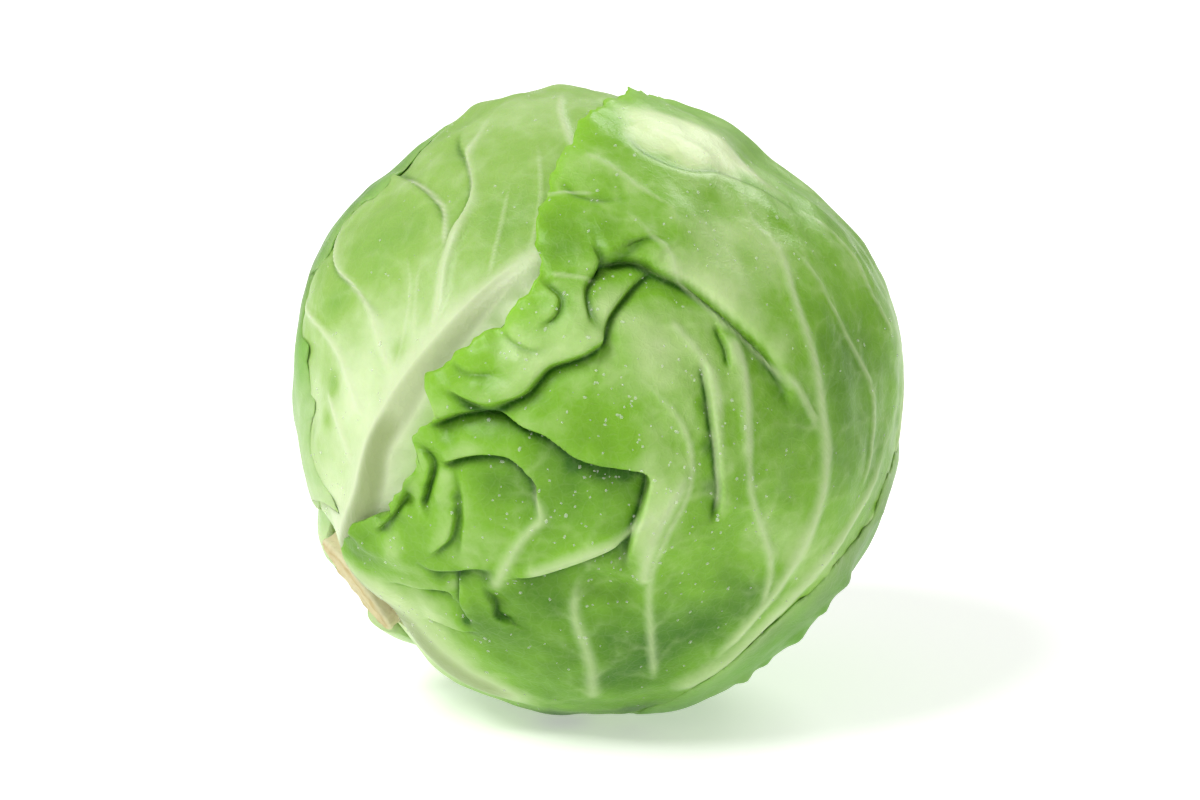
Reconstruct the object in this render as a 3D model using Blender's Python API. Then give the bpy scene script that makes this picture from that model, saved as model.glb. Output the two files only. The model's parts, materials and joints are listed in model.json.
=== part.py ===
"""A green cabbage head lying on its side: a stem, a tight heart and the wrapper leaves that fold round it.

Everything is placed on a ball by directions from its centre. A leaf is a patch of that ball between two
margins, drawn in a flat equal-area plane laid over the leaf's middle. It rests on whatever lies under it:
the pieces already placed are gathered in that plane, widened and softened, and the leaf lies on the result.
The blade is lifted by its pleats and its wavy margin, and thickened by its midrib and side ribs.
"""

import math
from collections import namedtuple

import bmesh
import bpy
import numpy as np

MM = 0.001

# Driving sizes
HEAD_RADIUS = 90 * MM  # the whole head, used to place what the front view shows
HEART_RADIUS = 83.6 * MM  # the tight ball of inner leaves
STEM_RADIUS = 16.6 * MM
STEM_CUT = 90 * MM  # from the head's centre to the cut face
STEM_SEAT = 81.8 * MM  # from the head's centre to the flat that the stem stands on
STEM_GAP = 0.5 * MM
LEAF_THICKNESS = 1.1 * MM
LEAF_GAP = 0.9 * MM  # air between one leaf and the next
LEAST_GAP = 0.75 * MM  # where a flat face of a leaf spans a hump in the one below
REST_HEIGHT = 90 * MM  # the head's centre above the flat spot that it rests on

# The front view that the leaves are drawn in: how far off it is taken, and its tilt above the horizon
VIEW_DISTANCE = 1600 * MM
VIEW_TILT = math.radians(14)
RIGHT = np.array([1.0, 0.0, 0.0])
UP = np.array([0.0, math.sin(VIEW_TILT), math.cos(VIEW_TILT)])
TOWARD = np.array([0.0, -math.cos(VIEW_TILT), math.sin(VIEW_TILT)])


def unit(vectors):
    return vectors / np.linalg.norm(vectors, axis=-1, keepdims=True)


# The stem points down and to the left in that view. Azimuths turn round it, from the front to the upper left.
STEM = unit(-0.79 * RIGHT - 0.60 * UP + 0.12 * TOWARD)
FRONT = unit(TOWARD - (TOWARD @ STEM) * STEM)
SIDE = np.cross(STEM, FRONT)
DOWN = np.array([0.0, 0.0, -1.0])

# The bed that a leaf is laid on is a square of cells over its plane, which spans -2 to 2
BED_CELLS = 240
BED_REACH = 2  # cells that the layer below is widened by
BED_SOFTNESS = 2.8  # cells
BASE_ANGLE = math.asin((STEM_RADIUS + STEM_GAP) / (HEART_RADIUS - 2 * MM))

Rib = namedtuple("Rib", "path widths heights crest", defaults=[2])
Pleat = namedtuple("Pleat", "path side drop reach fades")
Dimple = namedtuple("Dimple", "place radius depth")
Leaf = namedtuple(
    "Leaf",
    "name polar azimuth left right bulge rows columns crowd share stand flare floor ribs pleats dimples colour",
)


def direction(polar, azimuth):
    """Unit vectors at an angle from the stem and a turn round it, both in radians."""
    polar = np.asarray(polar, float)[..., None]
    azimuth = np.asarray(azimuth, float)[..., None]
    ring = np.cos(azimuth) * FRONT + np.sin(azimuth) * SIDE
    return np.cos(polar) * STEM + np.sin(polar) * ring


def front(points):
    """Directions of points of the front view, given in millimetres right of and above the head's centre."""
    eye = TOWARD * VIEW_DISTANCE
    flat = np.asarray(points, float) * MM
    ray = flat[:, :1] * RIGHT + flat[:, 1:] * UP - eye
    a = (ray**2).sum(axis=1)
    b = 2 * ray @ eye
    c = VIEW_DISTANCE**2 - HEAD_RADIUS**2
    root = np.sqrt(np.maximum(b**2 - 4 * a * c, 0))
    return unit(eye + ((-b - root) / (2 * a))[:, None] * ray)


def smooth_path(points, spans=4):
    """A Catmull-Rom curve through directions, brought back onto the unit ball."""
    ends = np.vstack([2 * points[0] - points[1], points, 2 * points[-1] - points[-2]])
    made = []
    for p0, p1, p2, p3 in zip(ends[:-3], ends[1:-2], ends[2:-1], ends[3:]):
        for t in np.arange(spans) / spans:
            line = 2 * p1 + (p2 - p0) * t
            bend = (2 * p0 - 5 * p1 + 4 * p2 - p3) * t**2 + (3 * p1 - p0 - 3 * p2 + p3) * t**3
            made.append((line + bend) / 2)
    made.append(points[-1])
    return unit(np.array(made))


def near_path(dirs, path):
    """Distance from each direction to a path on the head, its side (+1 is left of travel) and the share passed."""
    spans = np.linalg.norm(np.diff(path, axis=0), axis=1)
    starts = np.concatenate([[0], np.cumsum(spans)])
    best = np.full(len(dirs), np.inf)
    side = np.ones(len(dirs))
    share = np.zeros(len(dirs))
    for a, b, span, start in zip(path[:-1], path[1:], spans, starts):
        along = np.clip((dirs - a) @ (b - a) / span**2, 0, 1)
        gap = np.linalg.norm(dirs - a - along[:, None] * (b - a), axis=1)
        nearer = gap < best
        best = np.where(nearer, gap, best)
        side = np.where(nearer, np.sign(dirs @ np.cross(a, b)), side)
        share = np.where(nearer, (start + along * span) / starts[-1], share)
    return best * HEAD_RADIUS, side, share


def ease(low, high, value):
    """0 below low, 1 above high, and a smooth step between them."""
    t = np.clip((value - low) / (high - low), 0, 1)
    return t * t * (3 - 2 * t)


def calm(dirs):
    """0 on the spot that the head rests on and 1 away from it, so that the resting face stays flat."""
    return ease(20 * MM, 34 * MM, np.linalg.norm(dirs - DOWN, axis=1) * HEAD_RADIUS)


def rib_relief(dirs, ribs):
    """How far the ribs stand out: the highest of them, each with a rounded crest that tapers along its path."""
    relief = np.zeros(len(dirs))
    for rib in ribs:
        gap, _, share = near_path(dirs, rib.path)
        width = rib.widths[0] + (rib.widths[1] - rib.widths[0]) * share
        height = rib.heights[0] + (rib.heights[1] - rib.heights[0]) * share
        relief = np.maximum(relief, height * np.exp(-((gap / width) ** rib.crest)))
    return relief


def pleat_relief(dirs, pleats):
    """Folds where the blade laps over itself: a step along a path, high on one side, that dies away on both."""
    step_width = 2.3 * MM
    relief = np.zeros(len(dirs))
    for pleat in pleats:
        gap, side, share = near_path(dirs, pleat.path)
        start, end = pleat.fades
        fade = ease(0, start, share) if start else 1.0
        fade = fade * (1 - ease(1 - end, 1, share)) if end else fade
        signed = gap * side * pleat.side
        lap = np.tanh(signed / step_width) * np.exp(-gap / pleat.reach)
        relief += pleat.drop / 2 * fade * lap
    return relief


def dimple_relief(dirs, dimples):
    relief = np.zeros(len(dirs))
    for dimple in dimples:
        gap = np.linalg.norm(dirs - dimple.place, axis=1) * HEAD_RADIUS
        relief -= dimple.depth * np.exp(-((gap / dimple.radius) ** 2))
    return relief


def ripple(dirs, wavelength, seed):
    """Gentle unevenness between -1 and 1: a few waves of one length that cross the ball in seeded directions."""
    chance = np.random.default_rng(seed)
    waves = unit(chance.normal(size=(6, 3))) * math.tau * HEAD_RADIUS / wavelength
    phases = chance.uniform(0, math.tau, 6)
    return np.sin(dirs @ waves.T + phases).sum(axis=-1) / 3


def heart_level(dirs):
    """How far the tight inner head stands above or below its mean radius in each direction."""
    level = np.zeros(len(dirs))
    for place, reach, height in SWELLS:
        gap = np.linalg.norm(dirs - place, axis=1) * HEAD_RADIUS
        level += height * np.exp(-((gap / reach) ** 2))
    level += HEART_UNEVENNESS * ripple(dirs, 60 * MM, 3)
    level += (pleat_relief(dirs, HEART_FOLDS) + rib_relief(dirs, HEART_VEINS)) * ease(0.3, 0.6, 1 - dirs @ STEM)
    seat = STEM_SEAT / np.maximum(dirs @ STEM, 0.1)
    return np.minimum(HEART_RADIUS + level, seat) - HEART_RADIUS


def leaf_axes(leaf):
    """The middle of a leaf's plane, the way round the stem and the way to the leaf's tip."""
    polar, azimuth = math.radians(leaf.polar), math.radians(leaf.azimuth)
    middle = direction(polar, azimuth)
    around = math.cos(azimuth) * SIDE - math.sin(azimuth) * FRONT
    return middle, around, np.cross(around, middle)


def to_plane(leaf, dirs):
    """Where directions lie in the leaf's equal-area plane."""
    middle, around, onward = leaf_axes(leaf)
    reach = np.linalg.norm(dirs - middle, axis=-1)
    flat = np.stack([dirs @ around, dirs @ onward], axis=-1)
    return flat * (reach / np.maximum(np.linalg.norm(flat, axis=-1), 1e-9))[..., None]


def from_plane(leaf, flat):
    """Directions of points of the leaf's equal-area plane."""
    middle, around, onward = leaf_axes(leaf)
    reach = np.linalg.norm(flat, axis=-1)
    turn = 2 * np.arcsin(np.clip(reach / 2, 0, 1))
    across = (flat[..., :1] * around + flat[..., 1:] * onward) / np.maximum(reach, 1e-9)[..., None]
    return np.cos(turn)[..., None] * middle + np.sin(turn)[..., None] * across


def clear_of_stem(dirs):
    """Directions eased away from the stem, which every leaf has to go round."""
    polar = np.arccos(np.clip(dirs @ STEM, -1, 1))
    pushed = np.sqrt(polar**2 + (BASE_ANGLE * (1 - polar / math.pi)) ** 2)
    return direction(pushed, np.arctan2(dirs @ SIDE, dirs @ FRONT))


def widen(level, reach):
    """Each cell takes the greatest value within some cells round it."""
    wide = level.copy()
    steps = range(-reach, reach + 1)
    for down, across in ((j, i) for j in steps for i in steps if i * i + j * j <= reach**2):
        wide = np.maximum(wide, np.roll(level, (down, across), axis=(0, 1)))
    return wide


def lay_bed(leaf, placed):
    """What a leaf lies on: the highest piece in each cell of its plane, widened and softened."""
    axis = (np.arange(BED_CELLS) + 0.5) * 4 / BED_CELLS - 2
    flat = np.stack(np.meshgrid(axis, axis), axis=-1).reshape(-1, 2)
    level = heart_level(from_plane(leaf, flat)).reshape(BED_CELLS, BED_CELLS)
    for dirs, levels in placed:
        cell = np.clip((to_plane(leaf, dirs) + 2) * BED_CELLS / 4, 0, BED_CELLS - 1).astype(int)
        np.maximum.at(level, (cell[:, 1], cell[:, 0]), levels)
    level = widen(level, 1)
    bed = widen(level, BED_REACH)
    span = int(math.ceil(3 * BED_SOFTNESS))
    weights = np.exp(-0.5 * (np.arange(-span, span + 1) / BED_SOFTNESS) ** 2)
    weights /= weights.sum()
    for axis in (0, 1):
        bed = sum(w * np.roll(bed, i - span, axis=axis) for i, w in enumerate(weights))
    return level, bed


def read_bed(leaf, bed, dirs):
    """The bed under any directions, blended between the four nearest cells."""
    place = np.clip((to_plane(leaf, dirs) + 2) * BED_CELLS / 4 - 0.5, 0, BED_CELLS - 1.001)
    cell = place.astype(int)
    u, v = (place - cell).T
    i, j = cell.T
    low = bed[j, i] * (1 - u) + bed[j, i + 1] * u
    high = bed[j + 1, i] * (1 - u) + bed[j + 1, i + 1] * u
    return low * (1 - v) + high * v


def along(path, shares):
    """Points of a path at shares of its length."""
    spans = np.linalg.norm(np.diff(path, axis=0), axis=1)
    passed = np.concatenate([[0], np.cumsum(spans)]) / spans.sum()
    return np.stack([np.interp(shares, passed, path[:, k]) for k in range(path.shape[1])], axis=-1)


def spacing(cells, crowd):
    """Shares from 0 to 1 that lie closer together, by a factor, over one stretch of the way."""
    start, end, factor = crowd
    fine = np.linspace(0, 1, 401)
    density = 1 + (factor - 1) * ease(start - 0.06, start + 0.06, fine) * (1 - ease(end - 0.06, end + 0.06, fine))
    passed = np.concatenate([[0], np.cumsum((density[1:] + density[:-1]) / 2)])
    return np.interp(np.linspace(0, 1, cells + 1), passed / passed[-1], fine)


def leaf_grid(leaf):
    """Directions of the leaf's grid from base to tip and right to left, and how far each margin is."""
    margins = [to_plane(leaf, smooth_path(points)) for points in (leaf.right, leaf.left)]
    t = spacing(leaf.rows, leaf.crowd[0])
    u = spacing(leaf.columns, leaf.crowd[1])
    right, left = (along(margin, t)[:, None, :] for margin in margins)
    flat = right + (left - right) * u[None, :, None]
    flat[..., 1] += leaf.bulge * t[:, None] ** 2 * (1 - (2 * u[None, :] - 1) ** 2)
    width = np.linalg.norm(left - right, axis=-1) * HEAD_RADIUS
    length = np.linalg.norm(flat[-1, len(u) // 2] - flat[0, len(u) // 2]) * HEAD_RADIUS
    edges = np.broadcast_arrays(u * width, (1 - t[:, None]) * length, (1 - u) * width)
    return clear_of_stem(from_plane(leaf, flat)), edges, np.broadcast_to(t[:, None], edges[0].shape)


def leaf_shape(leaf, bed):
    """The leaf's grid, with the level, the lift of the blade and the ribs at each of its points."""
    grid, edges, share = leaf_grid(leaf)
    dirs = grid.reshape(-1, 3)
    rise = ease(0, 0.25, share.ravel())
    quiet = calm(dirs)
    level = read_bed(leaf, bed, dirs) + LEAF_GAP
    lift = leaf.stand * (0.3 + 0.7 * rise) + BLADE_UNEVENNESS * ripple(dirs, 34 * MM, leaf.rows)
    lift += pleat_relief(dirs, leaf.pleats) + dimple_relief(dirs, leaf.dimples)
    flare = np.max([reach * np.exp(-edge.ravel() / MARGIN_REACH) for reach, edge in zip(leaf.flare, edges)], axis=0)
    free = ease(0.12, 0.45, share.ravel())
    lift = (lift + free * flare * (MARGIN_LIFT + 0.9 * ripple(dirs, MARGIN_WAVE, leaf.columns))) * quiet
    softness = 0.4 * MM
    lift = softness * np.logaddexp(0, lift / softness) - softness * math.log(2) * (1 - quiet)
    ribs = rib_relief(dirs, leaf.ribs) * quiet
    return grid, level.reshape(grid.shape[:2]), lift.reshape(grid.shape[:2]), ribs.reshape(grid.shape[:2])


def lowest_near(values, reach):
    """The least value within some cells each way, so that a coarse inner face never cuts the fine outer one."""
    reach = 2 * reach
    low = values.copy()
    rows, columns = values.shape
    padded = np.pad(values, reach, mode="edge")
    for j in range(2 * reach + 1):
        for i in range(2 * reach + 1):
            low = np.minimum(low, padded[j : j + rows, i : i + columns])
    return low


def lay_leaf(leaf, placed):
    """The leaf as a closed shell: its points, its triangles, and the samples that the next leaf lies on."""
    covered, bed = lay_bed(leaf, placed)
    grid, level, lift, ribs = leaf_shape(leaf, bed)
    fall = np.maximum(-grid[..., 2], 0.05)
    outer = HEART_RADIUS + level + lift + ribs + LEAF_THICKNESS
    inner = HEART_RADIUS + level + lowest_near(lift, leaf.share - 1)
    coarse = (slice(None, None, leaf.share), slice(None, None, leaf.share))
    for _ in range(3):
        lack = shortfall(leaf, grid[coarse] * inner[coarse][..., None], covered)
        lack = between(lack, leaf.share)
        inner = inner + lack
        outer = outer + lack
    outer = np.minimum(outer, (REST_HEIGHT - leaf.floor) / fall)
    inner = np.minimum(inner, (REST_HEIGHT - leaf.floor - LEAF_THICKNESS) / fall)
    top = grid * outer[..., None]
    under = grid[coarse] * inner[coarse][..., None]
    points = np.vstack([top.reshape(-1, 3), under.reshape(-1, 3)])
    upper = np.arange(top[..., 0].size).reshape(top.shape[:2])
    lower = top[..., 0].size + np.arange(under[..., 0].size).reshape(under.shape[:2])
    split = shorter_ways(top)
    split_under = split if leaf.share == 1 else shorter_ways(under)
    faces = cell_faces(upper, True, split) + cell_faces(lower, False, split_under)
    faces += rim_faces(upper, lower, leaf.share)
    return points, faces, sample(top)


def shorter_ways(points):
    """For each cell of a grid, whether its second diagonal is the shorter, so that folds keep a clean line."""
    first = np.linalg.norm(points[1:, 1:] - points[:-1, :-1], axis=-1)
    second = np.linalg.norm(points[1:, :-1] - points[:-1, 1:], axis=-1)
    return second < first


def cell_faces(index, outward, turned_cells=False):
    """Two triangles for each cell of a grid, split along its first diagonal, or its second where turned."""
    a, b, c, d = (v.ravel() for v in (index[:-1, :-1], index[:-1, 1:], index[1:, 1:], index[1:, :-1]))
    second = np.broadcast_to(turned_cells, index[1:, 1:].shape).ravel()[:, None]
    lower = np.where(second, np.stack([a, d, b], axis=1), np.stack([a, c, b], axis=1))
    upper = np.where(second, np.stack([b, d, c], axis=1), np.stack([a, d, c], axis=1))
    faces = np.vstack([lower, upper])
    return (faces if outward else faces[:, ::-1]).tolist()


def rim_faces(upper, lower, share):
    """The thin edge of a leaf: each side of a cell of the inner face meets one or two sides of the outer one."""
    fine = np.concatenate([upper[0, :-1], upper[:-1, -1], upper[-1, :0:-1], upper[:0:-1, 0]]).tolist()
    coarse = np.concatenate([lower[0, :-1], lower[:-1, -1], lower[-1, :0:-1], lower[:0:-1, 0]]).tolist()
    faces = []
    for n, start in enumerate(coarse):
        end = coarse[(n + 1) % len(coarse)]
        chain = [fine[(share * n + k) % len(fine)] for k in range(share + 1)]
        faces.append((chain[0], chain[1], start))
        faces += [(a, b, end) for a, b in zip(chain[1:-1], chain[2:])]
        faces.append((start, chain[1], end))
    return faces


def shortfall(leaf, under, covered, finer=5):
    """How much each point of the inner face has to rise for its flat cells to clear what is already placed."""
    dirs, levels = sample(under, finer)
    short = np.maximum(read_bed(leaf, covered, dirs) + LEAST_GAP - levels, 0)
    rows, columns = under.shape[:2]
    short = short.reshape((rows - 1) * finer + 1, (columns - 1) * finer + 1)
    near = finer - 1
    short = np.pad(short, near)
    lack = np.zeros((rows, columns))
    for j in range(2 * near + 1):
        for i in range(2 * near + 1):
            shifted = short[j : j + (rows - 1) * finer + 1 : finer, i : i + (columns - 1) * finer + 1 : finer]
            lack = np.maximum(lack, shifted)
    return lack


def between(grid, finer):
    """A grid of values or points with this many cells, each way, in place of each cell."""
    rows, columns = grid.shape[:2]
    grid = grid.reshape(rows, columns, -1)
    t = np.linspace(0, rows - 1, (rows - 1) * finer + 1)
    u = np.linspace(0, columns - 1, (columns - 1) * finer + 1)
    j = np.minimum(t.astype(int), rows - 2)
    i = np.minimum(u.astype(int), columns - 2)
    v = (t - j)[:, None, None]
    w = (u - i)[None, :, None]
    low = grid[j][:, i] * (1 - w) + grid[j][:, i + 1] * w
    high = grid[j + 1][:, i] * (1 - w) + grid[j + 1][:, i + 1] * w
    return (low * (1 - v) + high * v).squeeze()


def sample(top, finer=10):
    """Directions and levels of many points of a grid's surface."""
    points = between(top, finer).reshape(-1, 3)
    radius = np.linalg.norm(points, axis=1)
    return points / radius[:, None], radius - HEART_RADIUS


def lay_heart(rows=20, columns=32):
    """The tight inner head as a closed ball, with a point at the crown and a flat where the stem stands."""
    polar = np.linspace(0, math.pi, rows + 1)[1:-1]
    azimuth = np.arange(columns) * math.tau / columns
    ring = direction(*np.meshgrid(polar, azimuth, indexing="ij")).reshape(-1, 3)
    dirs = np.vstack([ring, STEM, -STEM])
    radius = HEART_RADIUS + heart_level(dirs) - HEART_CLEARANCE
    radius = np.minimum(radius, (REST_HEIGHT - HEART_FLOOR) / np.maximum(-dirs[:, 2], 0.05))
    index = np.arange(len(ring)).reshape(len(polar), columns)
    index = np.hstack([index, index[:, :1]])
    faces = cell_faces(index, True)
    stem_end, crown_end = len(ring), len(ring) + 1
    for a, b in zip(index[0, :-1].tolist(), index[0, 1:].tolist()):
        faces.append((stem_end, a, b))
    for a, b in zip(index[-1, :-1].tolist(), index[-1, 1:].tolist()):
        faces.append((crown_end, b, a))
    return dirs * radius[:, None], faces


def lay_stem(sides=24):
    """The cut stem: a short round stub that spreads a little at the cut, with a shallow dome and a worn rim."""
    start = STEM_SEAT - 0.1 * MM
    rings = [
        (start, 0.55),
        (start, 0.97),
        (start + 2.5 * MM, 0.985),
        (STEM_CUT - 1.6 * MM, 1.0),
        (STEM_CUT - 0.4 * MM, 0.95),
        (STEM_CUT, 0.82),
        (STEM_CUT + 0.5 * MM, 0.4),
    ]
    turn = np.arange(sides) * math.tau / sides
    around = np.cos(turn)[:, None] * FRONT + np.sin(turn)[:, None] * SIDE
    wear = 1 - 0.02 * (1 + np.sin(3 * turn + 1) * np.cos(5 * turn))[:, None] / 2
    points = np.vstack([STEM * h + around * STEM_RADIUS * r * wear for h, r in rings])
    points = np.vstack([points, STEM * start, STEM * (STEM_CUT + 0.6 * MM)])
    index = np.arange(len(rings) * sides).reshape(len(rings), sides)
    index = np.hstack([index, index[:, :1]])
    faces = [face[::-1] for face in cell_faces(index, True)]
    low, high = len(rings) * sides, len(rings) * sides + 1
    for a, b in zip(index[0, :-1].tolist(), index[0, 1:].tolist()):
        faces.append((low, b, a))
    for a, b in zip(index[-1, :-1].tolist(), index[-1, 1:].tolist()):
        faces.append((high, a, b))
    return points, faces


def path(*points):
    """A smooth path over the head through points of the front view, in millimetres."""
    return smooth_path(front(points))


def turned(*points):
    """Directions from angles off the stem and turns round it, in degrees."""
    polar, azimuth = np.radians(points).T
    return direction(polar, azimuth)


def rib(points, widths=(4.4, 3.2), heights=(1.3, 0.7)):
    return Rib(path(*points), np.multiply(widths, MM), np.multiply(heights, MM))


def pleat(side, drop, points, reach=9, fades=(0.2, 0.2)):
    return Pleat(path(*points), side, drop * MM, reach * MM, fades)


def dimple(place, radius, depth):
    return Dimple(front([place])[0], radius * MM, depth * MM)


def straight_ribs(azimuth, spread, ends, start=16, width=9, height=4.5):
    """The midrib of a leaf that the front view does not show, and side ribs that leave it in turn."""
    polars = np.linspace(start, ends, 12)
    middle = turned(*[(p, azimuth) for p in polars])
    ribs = [Rib(middle, np.array([width, 3]) * MM, np.array([height, 1]) * MM)]
    for n, polar in enumerate(np.linspace(start + 9, ends - 16, 7)):
        way = 1 if n % 2 else -1
        out = spread * 0.85
        points = [(polar + out * k * 0.62, azimuth + way * out * k ** 0.8) for k in np.linspace(0.02, 1, 6)]
        ribs.append(Rib(smooth_path(turned(*points)), np.array([5, 3.6]) * MM, np.array([1.6, 0.7]) * MM))
    return tuple(ribs)


# Where the head is fuller or flatter than a ball: degrees off the stem and of turn, how wide and how far
SWELLS = [
    (turned((112, 76))[0], 34 * MM, 6.2 * MM),
    (turned((152, 72))[0], 35 * MM, -7.2 * MM),
    (turned((66, 82))[0], 26 * MM, 5.4 * MM),
    (turned((20, 52))[0], 26 * MM, 2.4 * MM),
    (turned((51, -88))[0], 40 * MM, 4.8 * MM),
    (turned((26, -92))[0], 24 * MM, 3.4 * MM),
    (turned((118, -84))[0], 24 * MM, -1.2 * MM),
    (turned((160, -72))[0], 26 * MM, 2.6 * MM),
]
HEART_UNEVENNESS = 0.35 * MM
HEART_CLEARANCE = 0.5 * MM
HEART_FLOOR = 4.4 * MM
BLADE_UNEVENNESS = 0.6 * MM
MARGIN_WAVE = 17 * MM
MARGIN_REACH = 8 * MM
MARGIN_LIFT = 0.4  # how far a wavy margin stands off the layer below, as a share of its flare

HEART_FOLDS = [
    Pleat(smooth_path(turned((60, 200), (125, 182), (150, 160), (168, 110))), 1, 1.2 * MM, 9 * MM, (0.2, 0.2)),
    Pleat(smooth_path(turned((60, 40), (125, 30), (150, 0), (168, -60))), -1, 1.2 * MM, 9 * MM, (0.2, 0.2)),
]
HEART_VEINS = straight_ribs(-20, 50, 160, start=40, width=5, height=1)

LEFT_RIBS = (
    Rib(
        path((-72.5, -48.2), (-70.1, -32.1), (-67.8, -20.5), (-62.8, -7.3), (-57, 4.4), (-49.7, 14.6)),
        np.array([8.8, 6.0]) * MM,
        np.array([5.4, 4.2]) * MM,
        3.4,
    ),
    Rib(
        path((-49.7, 14.6), (-38, 25.7), (-26.3, 35.1), (-16.1, 43.8), (0, 57), (17.5, 67.2)),
        np.array([6.0, 2.8]) * MM,
        np.array([4.2, 1.6]) * MM,
        3.0,
    ),
    rib([(-51.1, 13.1), (-49.1, 29.2), (-47, 42.7), (-41.8, 54.6), (-38, 63.7), (-38.6, 72.5), (-33.9, 79.8)]),
    rib([(-47, 48.8), (-47.6, 57.6), (-50.3, 61.4), (-54.6, 64.3), (-60.2, 65.7)], (2.6, 2), (1, 0.5)),
    rib([(-61.9, 6.7), (-66.3, 16.9), (-69.3, 26.6), (-72.8, 34.2), (-75.7, 43.8), (-70.1, 56.4)]),
    rib([(-69.5, -7.3), (-73.9, 4.4), (-77.4, 13.1), (-81.2, 20.5), (-84.4, 26.9)]),
    rib([(-73.6, -20.5), (-76.6, -10.2), (-79.5, -1.5), (-82.4, 4.4)]),
    rib([(0, 57), (-2.9, 67.2), (-7.6, 75.4), (-10.5, 81.5), (-9.9, 88)]),
)
FRONT_RIBS = (
    rib(
        [(-59.9, -66), (-49.7, -72), (-36.5, -79), (-23.4, -83), (0, -86), (14.6, -85.7), (26.3, -82.7)],
        (8, 6),
        (2.2, 2),
    ),
    rib([(26.3, -82.7), (40.9, -75), (61.4, -55.5), (76, -38), (84.7, -20), (87.5, -4)], (6, 3), (2, 1)),
    rib(
        [(30, -80), (35, -76), (46.8, -64.3), (58.4, -49.1), (66, -30.7), (68.1, -14.6), (65.7, 1.5), (61.4, 17.5)],
        (4.8, 4.2),
        (1.8, 1.4),
    ),
    rib([(61.4, 17.5), (57.6, 30.7), (54, 43.8), (45.9, 54), (42.4, 62)], (4.2, 3.2), (1.4, 0.7)),
    rib([(43.2, -70), (49.7, -58.4), (51.1, -46.8), (45.9, -32.1), (43.8, -23.4), (44.4, -8.8), (43.2, 7.3)]),
    rib([(67.8, -11.7), (58.4, 4.4), (48.2, 14.6), (36.5, 24.8), (24.8, 35.6), (16.1, 45.3), (6.4, 54)]),
    rib([(16.1, -84), (15.2, -70.1), (14.6, -55.5), (18.1, -42.4), (25.7, -27.8), (26.9, -16.1), (16.1, 2.3)]),
    rib([(-2.3, -84), (-3.5, -76), (-6.7, -65.7), (-5, -55.5)]),
    rib([(78.9, -29.2), (83.3, -8.8), (81.8, 5.8), (74.5, 20.5), (64.3, 38), (55.5, 48.2)]),
    rib([(-32.1, -58.4), (-26.3, -48.2), (-16.7, -36.5), (-15.2, -26.3), (-17.5, -14.6)], (3, 2.4), (1, 0.6)),
)
FRONT_PLEATS = (
    pleat(1, 7.0, [(-2.3, 39.2), (5.8, 41.5), (14.6, 38), (29.2, 28.9), (39.4, 18.1), (49.1, 8.8), (56.1, -2.3)]),
    pleat(-1, 2.4, [(15.2, 38), (8.8, 32.7), (3.5, 25.7), (0.6, 19), (-0.6, 15.5)], 6),
    pleat(-1, 4.6, [(0, 15.5), (-11.7, 8.2), (-21.9, 1.2), (-29.2, -0.9), (-42.4, 2)], 8, (0.25, 0.1)),
    pleat(
        1,
        5.4,
        [(-47.9, -4.1), (-40.3, -1.2), (-32.1, -0.3), (-20.5, -6.4), (-5.8, -13.7), (11.7, -18.7), (16, -22)],
        8,
        (0.1, 0),
    ),
    pleat(1, 5.4, [(16, -22), (14.6, -27.8), (12.3, -38), (9.4, -46.8), (8.2, -54.1)], 8, (0, 0.3)),
    pleat(1, 3.2, [(-45.6, -17.5), (-38, -16.4), (-30.4, -16.4), (-22.2, -24), (-20.5, -35.1)], 6),
    pleat(1, 1.8, [(-48.8, -19.6), (-50, -24.5), (-51.1, -29.5)], 5),
    pleat(-1, 1.8, [(-42.4, -35.9), (-43.5, -39.7), (-48.8, -44.1)], 5),
    pleat(-1, 2.0, [(-61.4, -53.2), (-52, -56.4), (-46.2, -57.6)], 6),
    pleat(-1, 3.4, [(-24, -53.2), (-9.4, -49.4), (0, -44.7), (7.3, -42.4)], 7),
    pleat(1, 4.2, [(29.5, 7.9), (32.4, -9.9), (33, -19), (34.2, -27.8), (31.8, -36.2)], 7),
    pleat(1, 1.2, [(34.2, 19.3), (37.4, 14.3), (37.1, 10.8)], 5),
)
FRONT_DIMPLES = (dimple((1.5, -54.1), 4.5, 3.0), dimple((-31, -61), 4.5, 2.6), dimple((-12, 25), 4, -1.4))

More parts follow.
